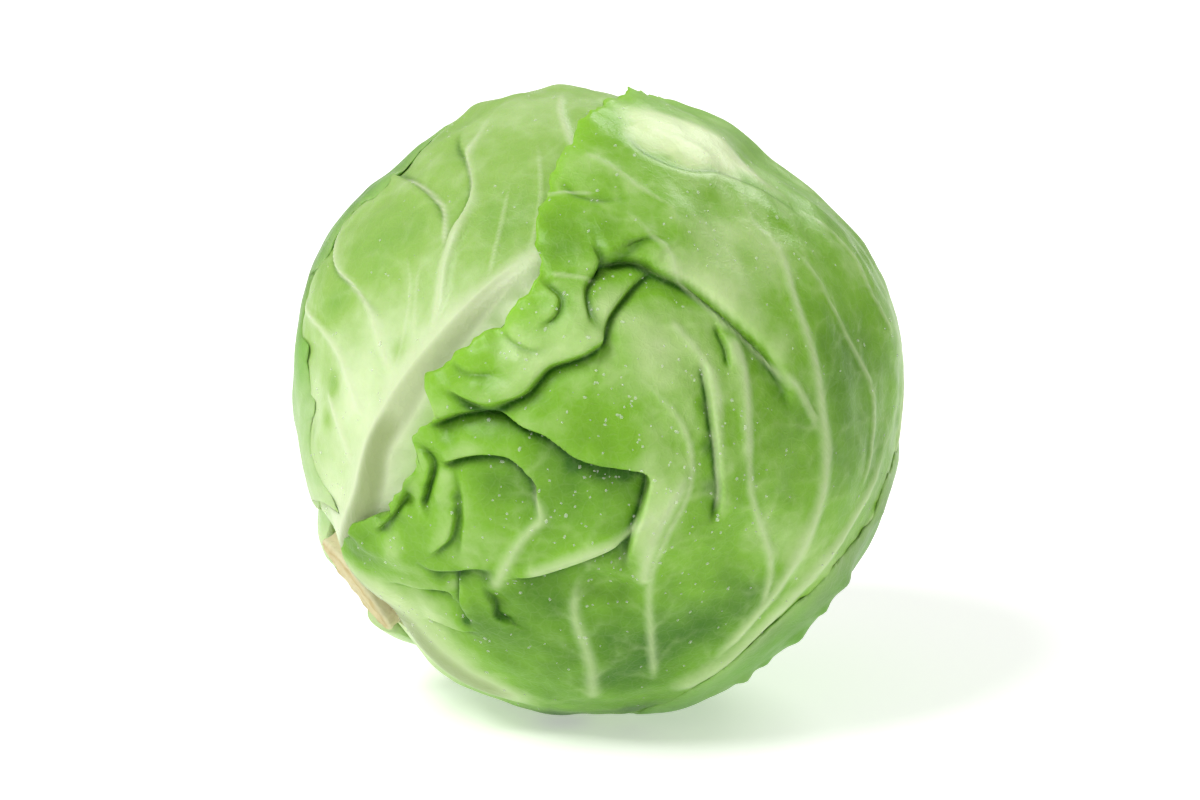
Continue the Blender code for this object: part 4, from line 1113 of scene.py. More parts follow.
FRONT_LEAF = Leaf(
    name="leaf_front",
    kind="front",
    polar=88,
    azimuth=-35,
    left=np.vstack(
        [
            turned((13, -16)),
            front(
                [(-73, -45.6), (-69.5, -37.4), (-62.8, -32.7), (-57.9, -26.9), (-54.3, -20.5), (-54.6, -13.7),
                 (-52.3, -8.2), (-48.5, -3.8), (-51.1, 1.2), (-50.3, 6.4), (-43.2, 12.9), (-34.5, 18.1),
                 (-26.3, 24), (-20.5, 29.2), (-17.2, 33.6), (-18.1, 43.8), (-16.7, 55.5), (-12.9, 66.6),
                 (-6.4, 76.6), (0.9, 84.2)]
            ),
            turned((140, 92), (152, 116)),
        ]
    ),
    right=turned((13, -160), (30, -164), (55, -166), (85, -166), (115, -160), (140, -152), (155, -150)),
    bulge=0.12,
    cells=(304, 288),
    crowd=((0.16, 0.62, 1.8), (0.46, 1, 1.8)),
    seeds=(58, 50),
    drape=LOOSE,
    stand=1.8 * MM,
    flare=(0, 1 * MM, 1.0 * MM),
    floor=1.9 * MM,
    ribs=FRONT_RIBS,
    twigs=(56, 15 * MM, 8 * MM),
    folds=FRONT_FOLDS,
    humps=front_spots(
        (-6, -8, 50, 3.2), (6, 90, 24, -1.5), (-1.5, -55.6, 4.6, -3.4), (5.2, -57.4, 4.6, -3.2),
        (10, -27, 7, -1.6), (-31, -61, 3.5, -1.6), (-26, 12, 6, 1.0), (-38, 6, 5, 0.8), (-30, -26, 7, -1.6),
        (-45.5, -27, 4, 2.2), (-33, -44, 6, 1.2), (-57, -44, 6, 1.8), (-40, -60, 3.4, 1.4),
        (-50, -62, 6, 1.2), (-12, -28, 10, -1.4),
        scale=MM,
    ),
    # Painted highlight over the upper right, where the skin is also paler; painted shade along the slit and
    # creases, below the ridge and pleats, at the bottom, its rim and the right side; painted light above the
    # ridge; the rest the leaf's own patches
    tones=front_spots(
        (14, 82, 9, 0.9, 3), (14, 76, 7.5, 0.7, 6), (26, 72, 7, 0.7, 6), (38, 70, 6, 0.6, 6),
        (25, 79, 10.5, 0.9, 3), (36, 76, 8.5, 0.9, 3), (46, 72, 6.5, 0.7, 3), (53, 67, 6, 0.5),
        (-14, 48, 14, -0.3), (-12, -30, 12, -0.3), (-30, -27, 7, -0.35), (-18, -60, 10, -0.5),
        (2, -24, 12, -0.3), (12, -76, 26, -1.0), (31, -2, 2.4, -0.5), (32, -14, 2.4, -0.6),
        (32.6, -26, 2.4, -0.6), (1, -20.5, 3, -0.7), (8, -22.5, 2.6, -0.6), (-8, -19.5, 2.6, -0.5),
        (-12, -91, 9, -1.0), (10, -90, 9, -0.8), (57, -42, 13, 0.35), (45, -59, 12, -0.7),
        (76, 0, 28, -0.6), (12, 16, 15, 0.45), (32, 36, 12, 0.45), (46, 42, 16, 0.3), (-34, -68, 13, -0.6),
        (-50, -62, 6, 0.15), (-44, -55, 3, 0.5), (-58, -41, 6, 0.2), (-45.5, -22, 3, 0.35),
        (-49.6, -21, 1.6, -0.6), (-50.2, -24.5, 1.6, -0.6), (-51, -28.5, 1.3, -0.7),
        (-41.6, -28, 1.5, -0.6), (-42.2, -32, 1.5, -0.6), (-62, -31, 2, -0.7), (-41.5, -52, 3, -1.0),
        (-47.5, -52, 2.8, -0.7), (-34, -52.6, 2.8, -0.8), (-51, -57, 1.3, -0.7), (-48, -57.8, 1.3, -0.8),
        (-30.3, -65.6, 1.5, -0.6), (-40, -66.2, 1.4, -0.7), (-23.5, 15, 7, 0.25), (-36, 10, 6, -0.2),
        (0, 64, 10, 0.15), (30, 50, 10, 0.1), (-68, -43, 9, -0.9),
    ),
    ruffles=front_spots(
        (-42, 8, 15, 1.3), (-24, 24, 11, 1.0), (-57, -24, 13, 2.2), (-68, -40, 9, 1.6),
        scale=MM,
    ),
)

BACK_LEFT_LEAF = Leaf(
    name="leaf_back_left",
    kind="outer",
    polar=75,
    azimuth=145,
    left=turned((13, 186), (40, 184), (80, 186), (104, 186), (122, 180), (132, 166)),
    right=np.vstack(
        [
            turned((13, 72), (20, 58)),
            front(
                [(-76, -36), (-79.5, -32), (-83, -25.5), (-85.2, -18), (-86.4, -10), (-85.4, -4), (-86.8, 2),
                 (-87, 9), (-85.8, 15), (-86.6, 21), (-84.8, 28), (-83, 34.5), (-78.4, 41), (-75, 49),
                 (-70.6, 56), (-63.6, 61.8)]
            ),
            turned((98, 86), (114, 102), (128, 124), (134, 146)),
        ]
    ),
    bulge=0.05,
    cells=(180, 160),
    crowd=((0, 1, 1), (0, 0.12, 1.6)),
    seeds=(22, 22),
    drape=SNUG,
    stand=0.1 * MM,
    flare=(0.8 * MM, 1.4 * MM, 0),
    floor=1 * MM,
    ribs=straight_ribs(145, 46, 138),
    twigs=(58, 15 * MM, 8 * MM),
    tones=front_spots(
        (-84, 32, 16, -0.6), (-86, -8, 22, 0.7), (-68, 60, 10, -0.4), (-79, -38, 12, 1.4),
        (-60, -66, 14, 1.4),
    ),
)

BACK_RIGHT_LEAF = Leaf(
    name="leaf_back_right",
    kind="outer",
    polar=78,
    azimuth=-150,
    left=np.vstack(
        [
            turned((13, -138), (30, -124), (45, -108), (54, -97), (60, -86)),
            front(
                [(28, -83.5), (39, -77), (46.2, -72.4), (54.4, -66), (62.6, -58.8), (69.9, -51.5),
                 (74.4, -47), (78.5, -43), (84, -33), (87.5, -22)]
            ),
            turned((136, -84), (140, -112)),
        ]
    ),
    right=turned((13, -200), (40, -206), (80, -210), (104, -207), (124, -196), (136, -176), (140, -156)),
    bulge=0.05,
    cells=(180, 164),
    crowd=((0, 1, 1), (0.88, 1, 1.6)),
    seeds=(22, 22),
    drape=SNUG,
    stand=0.1 * MM,
    flare=(1.4 * MM, 1.4 * MM, 1.2 * MM),
    floor=0 * MM,
    ribs=straight_ribs(-151, 46, 138),
    twigs=(58, 15 * MM, 8 * MM),
    humps=front_spots(
        (84, -35, 4, 1.6), (73, -53.5, 4, 2.4), (66, -62, 2.5, 1.4), (58, -70, 4, 2.2),
        (48.5, -77, 2.5, 1.2), (42, -80.5, 3, 1.8), (33, -84.5, 3, 1.2),
        scale=MM,
    ),
    # The three darker spots along the strip seen at the lower right are painted shade
    tones=front_spots(
        (84, -34, 15, -0.5), (70, -54, 15, -0.5), (52, -70, 13, -0.5), (-60, -66, 14, 1.4),
        (-79, -38, 12, 1.4),
    ),
)

# From the inside outward, because each leaf lies on those before it
LEAVES = {leaf.name: leaf for leaf in (CROWN_LEAF, LEFT_LEAF, FRONT_LEAF, BACK_LEFT_LEAF, BACK_RIGHT_LEAF)}


# Materials


def linear(code):
    """Linear red, green and blue of an sRGB hex value.

    Each is v / 12.92 up to 0.04045, and ((v + 0.055) / 1.055)^2.4 above it.
    """
    values = [int(code[i : i + 2], 16) / 255 for i in (1, 3, 5)]
    return tuple(v / 12.92 if v <= 0.04045 else ((v + 0.055) / 1.055) ** 2.4 for v in values)


def add_node(tree, kind, inputs=None, **settings):
    """Adds a node, sets its properties, and sets or links its inputs by name or number."""
    node = tree.nodes.new(kind)
    for key, value in settings.items():
        setattr(node, key, value)
    for key, value in (inputs or {}).items():
        if isinstance(value, bpy.types.NodeSocket):
            tree.links.new(value, node.inputs[key])
        else:
            node.inputs[key].default_value = value
    return node


def new_material(name):
    """An empty node material with its output, and the tree to build it in."""
    material = bpy.data.materials.new(name)
    material.use_nodes = True
    material.node_tree.nodes.clear()
    return material, material.node_tree


# By kind of leaf: the deep green, which also paints shadow, the young green, the ribs' colour, and the blade's
# pale green, which also paints highlight
LEAF_GREENS = {
    "front": ("#356808", "#92CD34", "#BCD19A", "#D5E7AE"),
    "pale": ("#669C30", "#94CE4C", "#CCDAAE", "#D1E3B2"),
    "inner": ("#629A2C", "#98D055", "#D6E6B4", "#BEDD92"),
    "outer": ("#4A6E2C", "#9CC070", "#C5DAA2", "#AFCB8C"),
}
# Dark green painted into creases as shade
CREASE_PAINTED_SHADE = "#2C5C0C"
# Olive of the widest ribs: partly their own colour and partly painted shade
WIDE_RIB_OLIVE_AND_SHADE = "#83945B"


def wax_leaf(kind, look):
    """Fresh cabbage leaf: a thick green blade under a thin bloom of wax, which softens its gloss.

    Colour goes from the blade's green to its pale green by the tone value, with mottling 30 and 9 mm wide, and
    to the deep green below 0. That value holds the leaf's own paler and deeper patches and painted light:
    painted highlight, painted shadow below folds and cavity shade that makes crests paler and hollows darker.
    Creases get a dark green of painted shade, margins a young yellow-green, ribs and veins near white, and the
    widest ribs an olive that is partly their own colour and partly painted shade. A net of the finest veins,
    3.4 mm and 1.5 mm across its meshes, shows as faint pale lines and a slight bump.
    """
    name = f"waxy_cabbage_leaf_{kind}"
    if name in bpy.data.materials:
        return bpy.data.materials[name]
    deep_and_shade, young, rib_colour, pale_blade = LEAF_GREENS[kind]
    material, tree = new_material(name)
    place = add_node(tree, "ShaderNodeTexCoord").outputs["Object"]
    value = {
        key: add_node(tree, "ShaderNodeAttribute", attribute_name=key).outputs["Fac"]
        for key in ("tone", "near", "crest", "edge", "crease", "vein", "rib")
    }
    noise = {}
    for key, size, detail in (
        ("patch", 30.303, 3),
        ("sheen", 16.667, 3),
        ("mottle", 9.0909, 3),
        ("dimple", 5.8824, 2),
        ("fibre", 2.381, 2),
        ("grain", 1.1111, 4),
        ("warp", 3.8462, 2),
    ):
        cloud = {"Vector": place, "Scale": 1 / (size * MM), "Detail": detail}
        output = "Color" if key == "warp" else "Fac"
        noise[key] = add_node(tree, "ShaderNodeTexNoise", cloud).outputs[output]
    warp = {0: noise["warp"], 3: 2.8 * MM}
    offset = add_node(tree, "ShaderNodeVectorMath", warp, operation="SCALE").outputs[0]
    bent = add_node(tree, "ShaderNodeVectorMath", {0: place, 1: offset}, operation="ADD").outputs[0]
    nets = []
    for mesh, low, high in ((3.4483, 0.015, 0.10), (1.51515, 0.02, 0.16)):
        nearby = {"Vector": bent, "Scale": 1 / (mesh * MM)}
        cell = add_node(tree, "ShaderNodeTexVoronoi", nearby, feature="DISTANCE_TO_EDGE").outputs["Distance"]
        line = add_node(tree, "ShaderNodeMapRange", {0: cell, 1: low, 2: high, 3: 1.0, 4: 0.0})
        nets.append(line.outputs[0])
    sums = {
        "tone": (
            -0.875,
            (value["tone"], 1.0),
            (noise["patch"], 1.1),
            (noise["mottle"], 0.65),
            (value["near"], look.rib_halo),
            (value["crest"], look.crest_cavity_shade),
        ),
        "lines": (0.0, (nets[0], 0.03), (nets[1], 0.015), (value["vein"], look.vein_contrast)),
        "ribs": (0.0, (value["rib"], 1.0), (noise["fibre"], -0.25)),
        "height": (0.0, (nets[0], 0.1), (nets[1], 0.05), (noise["grain"], 0.3), (noise["dimple"], 1.2)),
    }
    for key, (total, *parts) in sums.items():
        for part, weight in parts:
            total = add_node(
                tree, "ShaderNodeMath", {0: part, 1: weight, 2: total}, operation="MULTIPLY_ADD"
            ).outputs[0]
        sums[key] = total
    # The pale green also paints highlight and the deep green also paints shadow; creases get painted shade, rib
    # values above 1 an olive partly painted shade
    layers = (
        (sums["tone"], 1.0, 0.0, pale_blade),
        (sums["tone"], -1.0, 0.0, deep_and_shade),
        (value["edge"], 0.65, 0.0, young),
        (value["crease"], look.crease_shade_depth, 0.0, CREASE_PAINTED_SHADE),
        (sums["lines"], 1.0, 0.0, pale_blade),
        (sums["ribs"], 1.0, 0.0, rib_colour),
        (value["rib"], 1.0, -1.0, WIDE_RIB_OLIVE_AND_SHADE),
    )
    colour = (*getattr(look, f"{kind}_blade"), 1)
    for part, weight, less, over in layers:
        amount = add_node(
            tree, "ShaderNodeMath", {0: part, 1: weight, 2: less}, operation="MULTIPLY_ADD", use_clamp=True
        ).outputs[0]
        colour = add_node(
            tree, "ShaderNodeMix", {0: amount, 6: colour, 7: (*linear(over), 1)}, data_type="RGBA"
        ).outputs[2]
    bump = add_node(
        tree, "ShaderNodeBump", {"Strength": 0.5, "Distance": 0.6 * MM, "Height": sums["height"]}
    ).outputs[0]
    low, high = look.wax_roughness - 0.05, look.wax_roughness + 0.07
    rough = add_node(tree, "ShaderNodeMapRange", {0: noise["sheen"], 1: 0.3, 2: 0.7, 3: low, 4: high})
    skin = add_node(
        tree,
        "ShaderNodeBsdfPrincipled",
        {
            "Base Color": colour,
            "Roughness": rough.outputs[0],
            "Normal": bump,
            "IOR": 1.42,
            "Specular IOR Level": 0.2,
            "Subsurface Weight": 0.18,
            "Subsurface Radius": (0.9, 1.6, 0.35),
            "Subsurface Scale": 1.6 * MM,
            "Coat Weight": look.wax_gloss,
            "Coat Roughness": 0.24,
            "Coat IOR": 1.4,
        },
    ).outputs[0]
    add_node(tree, "ShaderNodeOutputMaterial", {"Surface": skin})
    return material


def cut_stalk():
    """Cut cabbage stalk, dried at the cut: cream pith with rings and rays, and a browner, rougher rim."""
    material, tree = new_material("cut_dried_stalk")
    place = add_node(tree, "ShaderNodeTexCoord").outputs["Object"]
    ring = add_node(tree, "ShaderNodeAttribute", attribute_name="ring").outputs["Fac"]
    ramp = add_node(tree, "ShaderNodeValToRGB", {0: ring})
    stops = ((0.0, "#DAD0A6"), (0.62, "#D2C594"), (0.8, "#CCBE8C"), (0.92, "#C0AE78"), (1.0, "#D6D0A8"))
    while len(ramp.color_ramp.elements) < len(stops):
        ramp.color_ramp.elements.new(0.5)
    for element, (at, code) in zip(ramp.color_ramp.elements, stops):
        element.position = at
        element.color = (*linear(code), 1)
    noise = {}
    for key, size, detail in (("blotch", 4.1667, 5), ("fibre", 1.1111, 4)):
        cloud = {"Vector": place, "Scale": 1 / (size * MM), "Detail": detail}
        noise[key] = add_node(tree, "ShaderNodeTexNoise", cloud).outputs["Fac"]
    blotch = noise["blotch"]
    worn = add_node(tree, "ShaderNodeMapRange", {0: blotch, 1: 0.5, 2: 0.75, 3: 0.0, 4: 0.28}).outputs[0]
    colour = add_node(
        tree, "ShaderNodeMix", {0: worn, 6: ramp.outputs[0], 7: (*linear("#9C8650"), 1)}, data_type="RGBA"
    ).outputs[2]
    relief = {0: noise["fibre"], 1: 0.5, 2: blotch}
    height = add_node(tree, "ShaderNodeMath", relief, operation="MULTIPLY_ADD")
    rough = {"Strength": 0.7, "Distance": 0.8 * MM, "Height": height.outputs[0]}
    bump = add_node(tree, "ShaderNodeBump", rough).outputs[0]
    skin = add_node(
        tree, "ShaderNodeBsdfPrincipled", {"Base Color": colour, "Roughness": 0.72, "Normal": bump}
    ).outputs[0]
    add_node(tree, "ShaderNodeOutputMaterial", {"Surface": skin})
    return material


def clear_water():
    """Water drops: clear, smooth and glossy, a little milky in the middle, where they gather light."""
    # The milky white in a drop's middle is painted light that stands in for the light a drop gathers
    material, tree = new_material("water")
    rim = add_node(tree, "ShaderNodeLayerWeight", {"Blend": 0.35}).outputs["Facing"]
    cover = add_node(tree, "ShaderNodeMapRange", {0: rim, 1: 0.0, 2: 1.0, 3: 0.3, 4: 0.16}).outputs[0]
    skin = add_node(
        tree,
        "ShaderNodeBsdfPrincipled",
        {"Base Color": (*linear("#F6FDEA"), 1), "Roughness": 0.08, "IOR": 1.4, "Alpha": cover},
    ).outputs[0]
    add_node(tree, "ShaderNodeOutputMaterial", {"Surface": skin})
    return material


def light_table():
    """A light table: white opal acrylic, lit evenly from below, so things on it cast almost no shadow."""
    material, tree = new_material("lit_opal_acrylic")
    skin = add_node(
        tree,
        "ShaderNodeBsdfPrincipled",
        {
            "Base Color": (*linear("#F4F4F2"), 1),
            "Roughness": 0.9,
            "Specular IOR Level": 0.1,
            "Emission Color": (1, 1, 1, 1),
            "Emission Strength": 0.4,
        },
    ).outputs[0]
    add_node(tree, "ShaderNodeOutputMaterial", {"Surface": skin})
    return material


# Settings


class CabbageShape(bpy.types.PropertyGroup):
    """Sizes of the leaves and of the dew."""

    leaf_gap: bpy.props.FloatProperty(
        name="Leaf gap",
        description="Air between one leaf and the next",
        default=0.9 * MM,
        min=0,
        unit="LENGTH",
    )
    leaf_thickness: bpy.props.FloatProperty(
        name="Leaf thickness",
        description="Thickness of a blade away from its margin",
        default=1.1 * MM,
        min=0,
        unit="LENGTH",
    )
    rib_height: bpy.props.FloatProperty(
        name="Rib height",
        description="Factor on how far the ribs stand out",
        default=1.0,
        min=0,
        subtype="FACTOR",
    )
    vein_height: bpy.props.FloatProperty(
        name="Vein height",
        description="How far the finer veins stand out",
        default=0.16 * MM,
        min=0,
        unit="LENGTH",
    )
    fold_depth: bpy.props.FloatProperty(
        name="Fold depth",
        description="Factor on the depth of the folds",
        default=1.0,
        min=0,
        subtype="FACTOR",
    )
    # Strength of the painted shadow below a fold and of the painted highlight on its lip
    fold_shade: bpy.props.FloatProperty(
        name="Fold shade",
        description="How much deeper the green is below a fold",
        default=0.7,
        min=0,
        subtype="FACTOR",
    )
    pucker: bpy.props.FloatProperty(
        name="Pucker",
        description="Height of the soft humps between the veins",
        default=0.32 * MM,
        min=0,
        unit="LENGTH",
    )
    fray: bpy.props.FloatProperty(
        name="Fray",
        description="How far the notches of a margin reach",
        default=1.0 * MM,
        min=0,
        unit="LENGTH",
    )
    drop_count: bpy.props.IntProperty(
        name="Drops",
        description="How many water drops there are",
        default=760,
        min=0,
    )
    drop_radius: bpy.props.FloatProperty(
        name="Drop radius",
        description="Radius of a middling drop",
        default=0.36 * MM,
        min=0,
        unit="LENGTH",
    )


def blade_colour(name, description, code):
    """A setting for the green of a leaf's blade."""
    return bpy.props.FloatVectorProperty(
        name=name, description=description, subtype="COLOR", min=0, max=1, default=linear(code)
    )


class CabbageFinish(bpy.types.PropertyGroup):
    """How the leaves look."""

    front_blade: blade_colour("Front leaf", "Green of the large folded leaf in front", "#7AAE30")
    pale_blade: blade_colour("Pale leaf", "Green of the leaf at the left", "#93BA5A")
    inner_blade: blade_colour("Inner leaves", "Green of the heart and of the leaf over the top", "#8FC04E")
    outer_blade: blade_colour("Outer leaves", "Green of the two leaves round the back", "#6CA534")
    wax_roughness: bpy.props.FloatProperty(
        name="Wax roughness",
        description="Roughness of the leaf's waxy skin",
        default=0.4,
        min=0,
        max=1,
        subtype="FACTOR",
    )
    wax_gloss: bpy.props.FloatProperty(
        name="Wax gloss",
        description="Strength of the thin glossy layer on top",
        default=0.14,
        min=0,
        max=1,
        subtype="FACTOR",
    )
    vein_contrast: bpy.props.FloatProperty(
        name="Vein contrast",
        description="How pale the finer veins are",
        default=0.2,
        min=0,
        max=1,
        subtype="FACTOR",
    )
    rib_halo: bpy.props.FloatProperty(
        name="Rib halo",
        description="How pale the blade is beside its ribs",
        default=0.14,
        min=0,
        max=1,
        subtype="FACTOR",
    )
    # Crests painted paler and hollows darker, as cavity shade
    crest_cavity_shade: bpy.props.FloatProperty(
        name="Crest tone",
        description="How much paler crests are than hollows",
        default=0.1,
        min=0,
        max=1,
        subtype="FACTOR",
    )
    # Strength of the dark green painted into creases as shade
    crease_shade_depth: bpy.props.FloatProperty(
        name="Crease colour",
        description="How deep the green of the creases is",
        default=0.95,
        min=0,
        max=1,
        subtype="FACTOR",
    )


class CabbageStudio(bpy.types.PropertyGroup):
    """The light and the floor."""

    sky: bpy.props.FloatProperty(
        name="Sky",
        description="Strength of the even light all round",
        default=0.36,
        min=0,
    )
    key: bpy.props.FloatProperty(
        name="Key light",
        description="Strength of the light from above",
        default=2.35,
        min=0,
    )
    back: bpy.props.FloatProperty(
        name="Back light",
        description="Strength of the light behind",
        default=1.3,
        min=0,
    )
    floor_size: bpy.props.FloatProperty(
        name="Floor size",
        description="Length of the floor's side",
        default=16.0,
        min=1,
        unit="LENGTH",
    )


# Pieces


class CABBAGE_OT_heart(bpy.types.Operator):
    """The tight inner head, seen only between the wrapper leaves"""

    bl_idname = "cabbage.heart"
    bl_label = "Heart"

    def execute(self, context):
        polar = np.linspace(0, math.pi, 121)[1:-1]
        azimuth = np.arange(180) * math.tau / 180
        ring = direction(*np.meshgrid(polar, azimuth, indexing="ij")).reshape(-1, 3)
        dirs = np.vstack([ring, STEM, -STEM])
        radius = HEART_RADIUS + heart_level(dirs) - 0.5 * MM + 0.3 * MM * ripple(dirs, 24 * MM, 8)
        radius = np.minimum(radius, (REST_HEIGHT - 4.4 * MM) / np.maximum(-dirs[:, 2], 0.05))
        faces = capped_faces(len(polar), len(azimuth), True)
        material = wax_leaf("inner", context.scene.cabbage_finish)
        points = dirs * radius[:, None] + HEAD_CENTRE
        values = {key: np.zeros(len(points)) for key in ("crest", "rib", "near", "vein", "crease", "edge")}
        values["tone"] = 1.6 * np.exp(-((np.arccos(np.clip(dirs @ STEM, -1, 1)) / math.radians(26)) ** 4))
        piece = new_piece("heart_leaves", points, faces, material, values)
        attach(piece, "root")
        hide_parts("heart")
        return {"FINISHED"}


class CABBAGE_OT_stem(bpy.types.Operator):
    """The short stub of the stalk, with its rough, slightly domed cut face"""

    bl_idname = "cabbage.stem"
    bl_label = "Stem"

    def execute(self, context):
        sides = 96
        start = STEM_SEAT - 0.1 * MM
        profile = [(start, 0.5), (start, 0.95), (start + 0.6 * MM, 0.975)]
        profile += [(start + d * MM, 0.98 + 0.012 * math.sin(d)) for d in (1.6, 2.6, 3.6, 4.6, 5.6, 6.4)]
        profile += [(STEM_CUT - 1.1 * MM, 1.0), (STEM_CUT - 0.5 * MM, 0.985), (STEM_CUT - 0.1 * MM, 0.95)]
        face = (0.9, 0.84, 0.76, 0.66, 0.55, 0.42, 0.28, 0.14)
        profile += [(STEM_CUT + (0.05 + 0.5 * (1 - r)) * MM, r) for r in face]
        height, reach = np.array(profile).T
        turn = np.arange(sides) * math.tau / sides
        chance = np.random.default_rng(5)
        around = np.cos(turn)[:, None] * FRONT + np.sin(turn)[:, None] * SIDE
        wear = 1 - 0.02 * (1 + np.sin(3 * turn + 1) * np.cos(5 * turn)) / 2
        wear = wear * (1 - 0.006 * (1 + np.sin(17 * turn)) - 0.004 * (1 + np.sin(31 * turn + 2)))
        up = STEM * height[:, None, None]
        out = around[None] * (STEM_RADIUS * reach[:, None] * wear[None, :])[..., None]
        points = (up + out).reshape(-1, 3)
        cut = np.repeat(ease(STEM_CUT - 0.6 * MM, STEM_CUT, height), sides)
        rough = ripple(unit(points), 5 * MM, 9) + 0.6 * ripple(unit(points), 2.3 * MM, 10)
        points += (0.28 * MM * rough * cut)[:, None] * STEM
        points += (chance.normal(0, 0.03 * MM, len(points)) * cut)[:, None] * STEM
        points = np.vstack([points, STEM * start, STEM * (STEM_CUT + 0.6 * MM)])
        faces = capped_faces(len(height), sides, False)
        ring = np.concatenate([np.repeat(reach, sides), [0, 0]])
        material = cut_stalk()
        piece = new_piece("stem_cut", points + HEAD_CENTRE, faces, material, {"ring": ring})
        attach(piece, "root")
        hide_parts("stem")
        return {"FINISHED"}


class CABBAGE_OT_leaf(bpy.types.Operator):
    """One leaf, laid on those that are already there"""

    bl_idname = "cabbage.leaf"
    bl_label = "Leaf"

    node: bpy.props.StringProperty(
        name="Node",
        description="The leaf's node in the frame",
        default="leaf_front",
    )

    def execute(self, context):
        leaf = LEAVES[self.node]
        lay_leaf(leaf, context.scene.cabbage_shape, wax_leaf(leaf.kind, context.scene.cabbage_finish))
        return {"FINISHED"}


def dew_places():
    """Points where the front and left leaves face the viewer and lie bare, with the blades' normals there."""
    places, ways = [], []
    for name in ("leaf_front_blade", "leaf_left_blade"):
        mesh = bpy.data.objects[name].data
        points = mesh_vectors(mesh.vertices, "co")
        normals = mesh_vectors(mesh.vertex_normals, "vector")
        dirs = unit(points - HEAD_CENTRE)
        out = (normals * dirs).sum(axis=1) > 0.55
        hidden = (name == "leaf_left_blade") & (np.degrees(np.arctan2(dirs @ SIDE, dirs @ FRONT)) < 32)
        bare = np.flatnonzero(out & ~hidden & (dirs @ TOWARD > 0.1))
        places.append(points[bare])
        ways.append(normals[bare])
    return np.vstack(places), np.vstack(ways)


def drop_dome(rings, sides, height=0.62, sunk=0.12):
    """A dome of radius 1: rings at even angles up from the rim, then the middle of its underside and its top.

    A ring's radius is the cosine of its angle, and it stands as high as the height times the sine.
    """
    lift = np.linspace(0, math.pi / 2, rings + 1)[:-1]
    turn = np.arange(sides) * math.tau / sides
    x, y = np.cos(lift)[:, None] * np.stack([np.cos(turn), np.sin(turn)])[:, None, :]
    z = np.broadcast_to(np.sin(lift)[:, None] * height, x.shape)
    return np.vstack([np.stack([x, y, z], axis=-1).reshape(-1, 3), [[0, 0, -sunk], [0, 0, height]]])


class CABBAGE_OT_drops(bpy.types.Operator):
    """Water drops on the front of the head, denser near its middle"""

    bl_idname = "cabbage.drops"
    bl_label = "Water drops"

    def execute(self, context):
        shape = context.scene.cabbage_shape
        chance = np.random.default_rng(41)
        places, ways = dew_places()
        dense = front_spots((12, -25, 30, 1.0), (-10, 20, 26, 0.5), (30, 60, 26, 0.5))
        crowd = 0.18 + spots_sum(unit(places - HEAD_CENTRE), dense)
        chosen = chance.choice(len(places), shape.drop_count, replace=False, p=crowd / crowd.sum())
        places, ways = places[chosen], unit(ways[chosen])
        size = shape.drop_radius * np.exp(np.minimum(chance.normal(0, 0.32, len(chosen)), 0.6))
        rings, sides = 4, 10
        dome = drop_dome(rings, sides)
        aside = unit(np.cross(ways, np.array([0.3, 0.2, 0.9])))
        other = np.cross(ways, aside)
        stretch = 1 + 0.25 * chance.uniform(-1, 1, (len(chosen), 1))
        points = (
            dome[None, :, :1] * (aside * stretch)[:, None]
            + dome[None, :, 1:2] * (other / stretch)[:, None]
            + dome[None, :, 2:] * ways[:, None]
        )
        points = places[:, None] + size[:, None, None] * points - 0.03 * MM * ways[:, None]
        one = capped_faces(rings, sides, False)
        faces = (one[None] + len(dome) * np.arange(len(chosen))[:, None, None]).reshape(-1, 3)
        piece = new_piece("water_drops", points.reshape(-1, 3), faces, clear_water())
        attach(piece, "root")
        return {"FINISHED"}


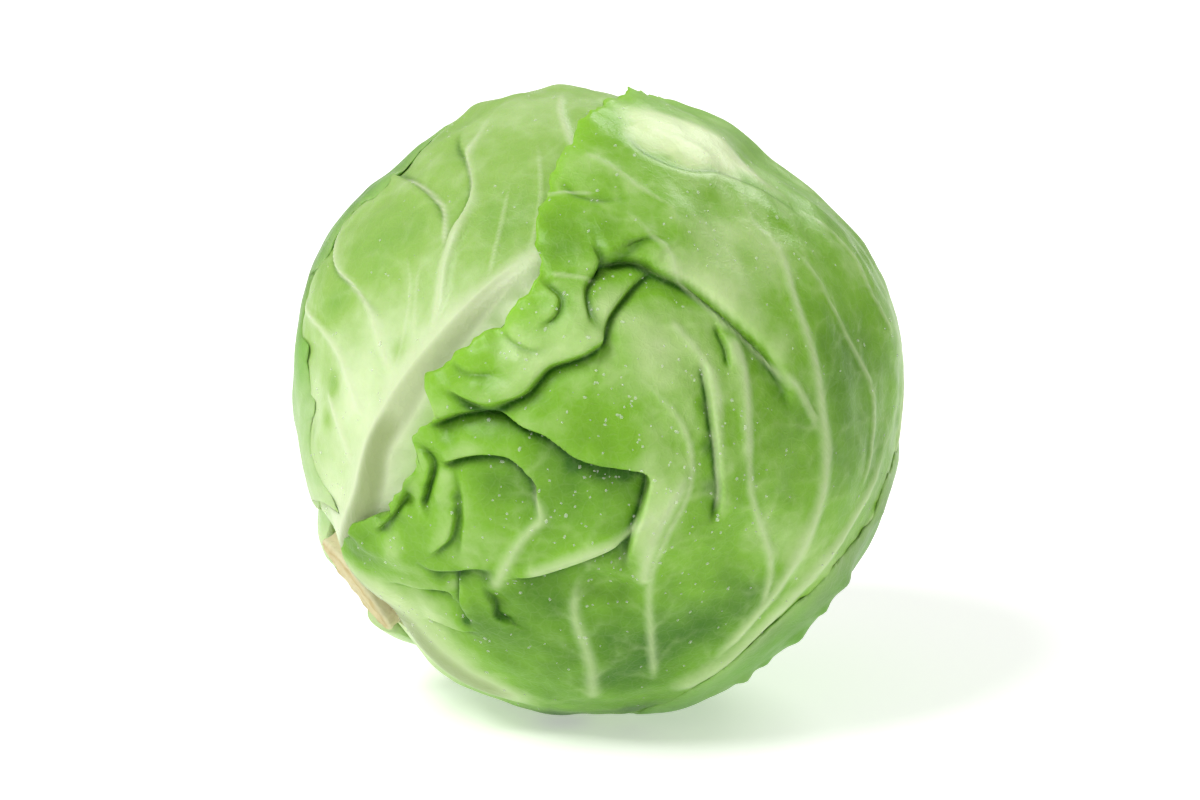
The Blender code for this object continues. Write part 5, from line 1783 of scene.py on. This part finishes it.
class CABBAGE_OT_stage(bpy.types.Operator):
    """A white light table, wide soft lights above and behind, even light all round, and the camera"""

    bl_idname = "cabbage.stage"
    bl_label = "Stage"

    def execute(self, context):
        scene = context.scene
        studio = scene.cabbage_studio
        half = studio.floor_size / 2
        corners = np.array([(-half, -half, 0), (half, -half, 0), (half, half, 0), (-half, half, 0)])
        floor = new_piece("floor", corners, np.array([[0, 1, 2, 3]]), light_table())
        world = bpy.data.worlds.new("studio")
        world.use_nodes = True
        background = world.node_tree.nodes["Background"]
        background.inputs["Color"].default_value = (1, 1, 1, 1)
        background.inputs["Strength"].default_value = studio.sky
        scene.world = world
        for name, way, strength, spread in (
            ("key_light", (-0.56, -0.42, 0.85), studio.key, 24),
            ("back_light", (0.4, 0.7, 0.62), studio.back, 30),
        ):
            lamp = bpy.data.lights.new(name, "SUN")
            lamp.energy = strength
            lamp.angle = math.radians(spread)
            holder = bpy.data.objects.new(name, lamp)
            holder.location = HEAD_CENTRE + 1.5 * np.array(way)
            holder.rotation_euler = Vector(way).to_track_quat("Z", "Y").to_euler()
            scene.collection.objects.link(holder)
        camera = bpy.data.cameras.new("camera")
        camera.sensor_width = 36
        camera.lens = camera.sensor_width * VIEW_DISTANCE / VIEW_WIDTH
        camera.clip_start, camera.clip_end = 0.05, 60
        viewer = bpy.data.objects.new("camera", camera)
        viewer.location = HEAD_CENTRE + TOWARD * VIEW_DISTANCE
        viewer.rotation_euler = Vector(-TOWARD).to_track_quat("-Z", "Y").to_euler()
        scene.collection.objects.link(viewer)
        scene.camera = viewer
        scene.view_settings.view_transform = "Standard"
        return {"FINISHED"}


class CABBAGE_PT_panel(bpy.types.Panel):
    """Lists the cabbage's settings and its pieces"""

    bl_idname = "CABBAGE_PT_panel"
    bl_label = "Cabbage head"
    bl_space_type = "VIEW_3D"
    bl_region_type = "UI"
    bl_category = "Cabbage"

    def draw(self, context):
        for name in ("cabbage_shape", "cabbage_finish", "cabbage_studio"):
            group = getattr(context.scene, name)
            box = self.layout.box()
            for key in group.__annotations__:
                box.prop(group, key)
        for operator in OPERATORS:
            self.layout.operator(operator.bl_idname)


GROUPS = {"cabbage_shape": CabbageShape, "cabbage_finish": CabbageFinish, "cabbage_studio": CabbageStudio}
OPERATORS = (CABBAGE_OT_heart, CABBAGE_OT_stem, CABBAGE_OT_leaf, CABBAGE_OT_drops, CABBAGE_OT_stage)


def register():
    """Adds the classes and hangs their settings on the scene."""
    for item in (*GROUPS.values(), *OPERATORS, CABBAGE_PT_panel):
        bpy.utils.register_class(item)
    for name, group in GROUPS.items():
        setattr(bpy.types.Scene, name, bpy.props.PointerProperty(type=group))


def unregister():
    """Takes the settings and the classes away again."""
    for name in GROUPS:
        delattr(bpy.types.Scene, name)
    for item in (CABBAGE_PT_panel, *reversed(OPERATORS), *reversed(tuple(GROUPS.values()))):
        bpy.utils.unregister_class(item)


def main():
    """Builds the whole head from the inside outward, then the studio."""
    register()
    bpy.ops.cabbage.heart()
    bpy.ops.cabbage.stem()
    for node in LEAVES:
        bpy.ops.cabbage.leaf(node=node)
    bpy.ops.cabbage.drops()
    bpy.ops.cabbage.stage()


if __name__ == "__main__":
    main()
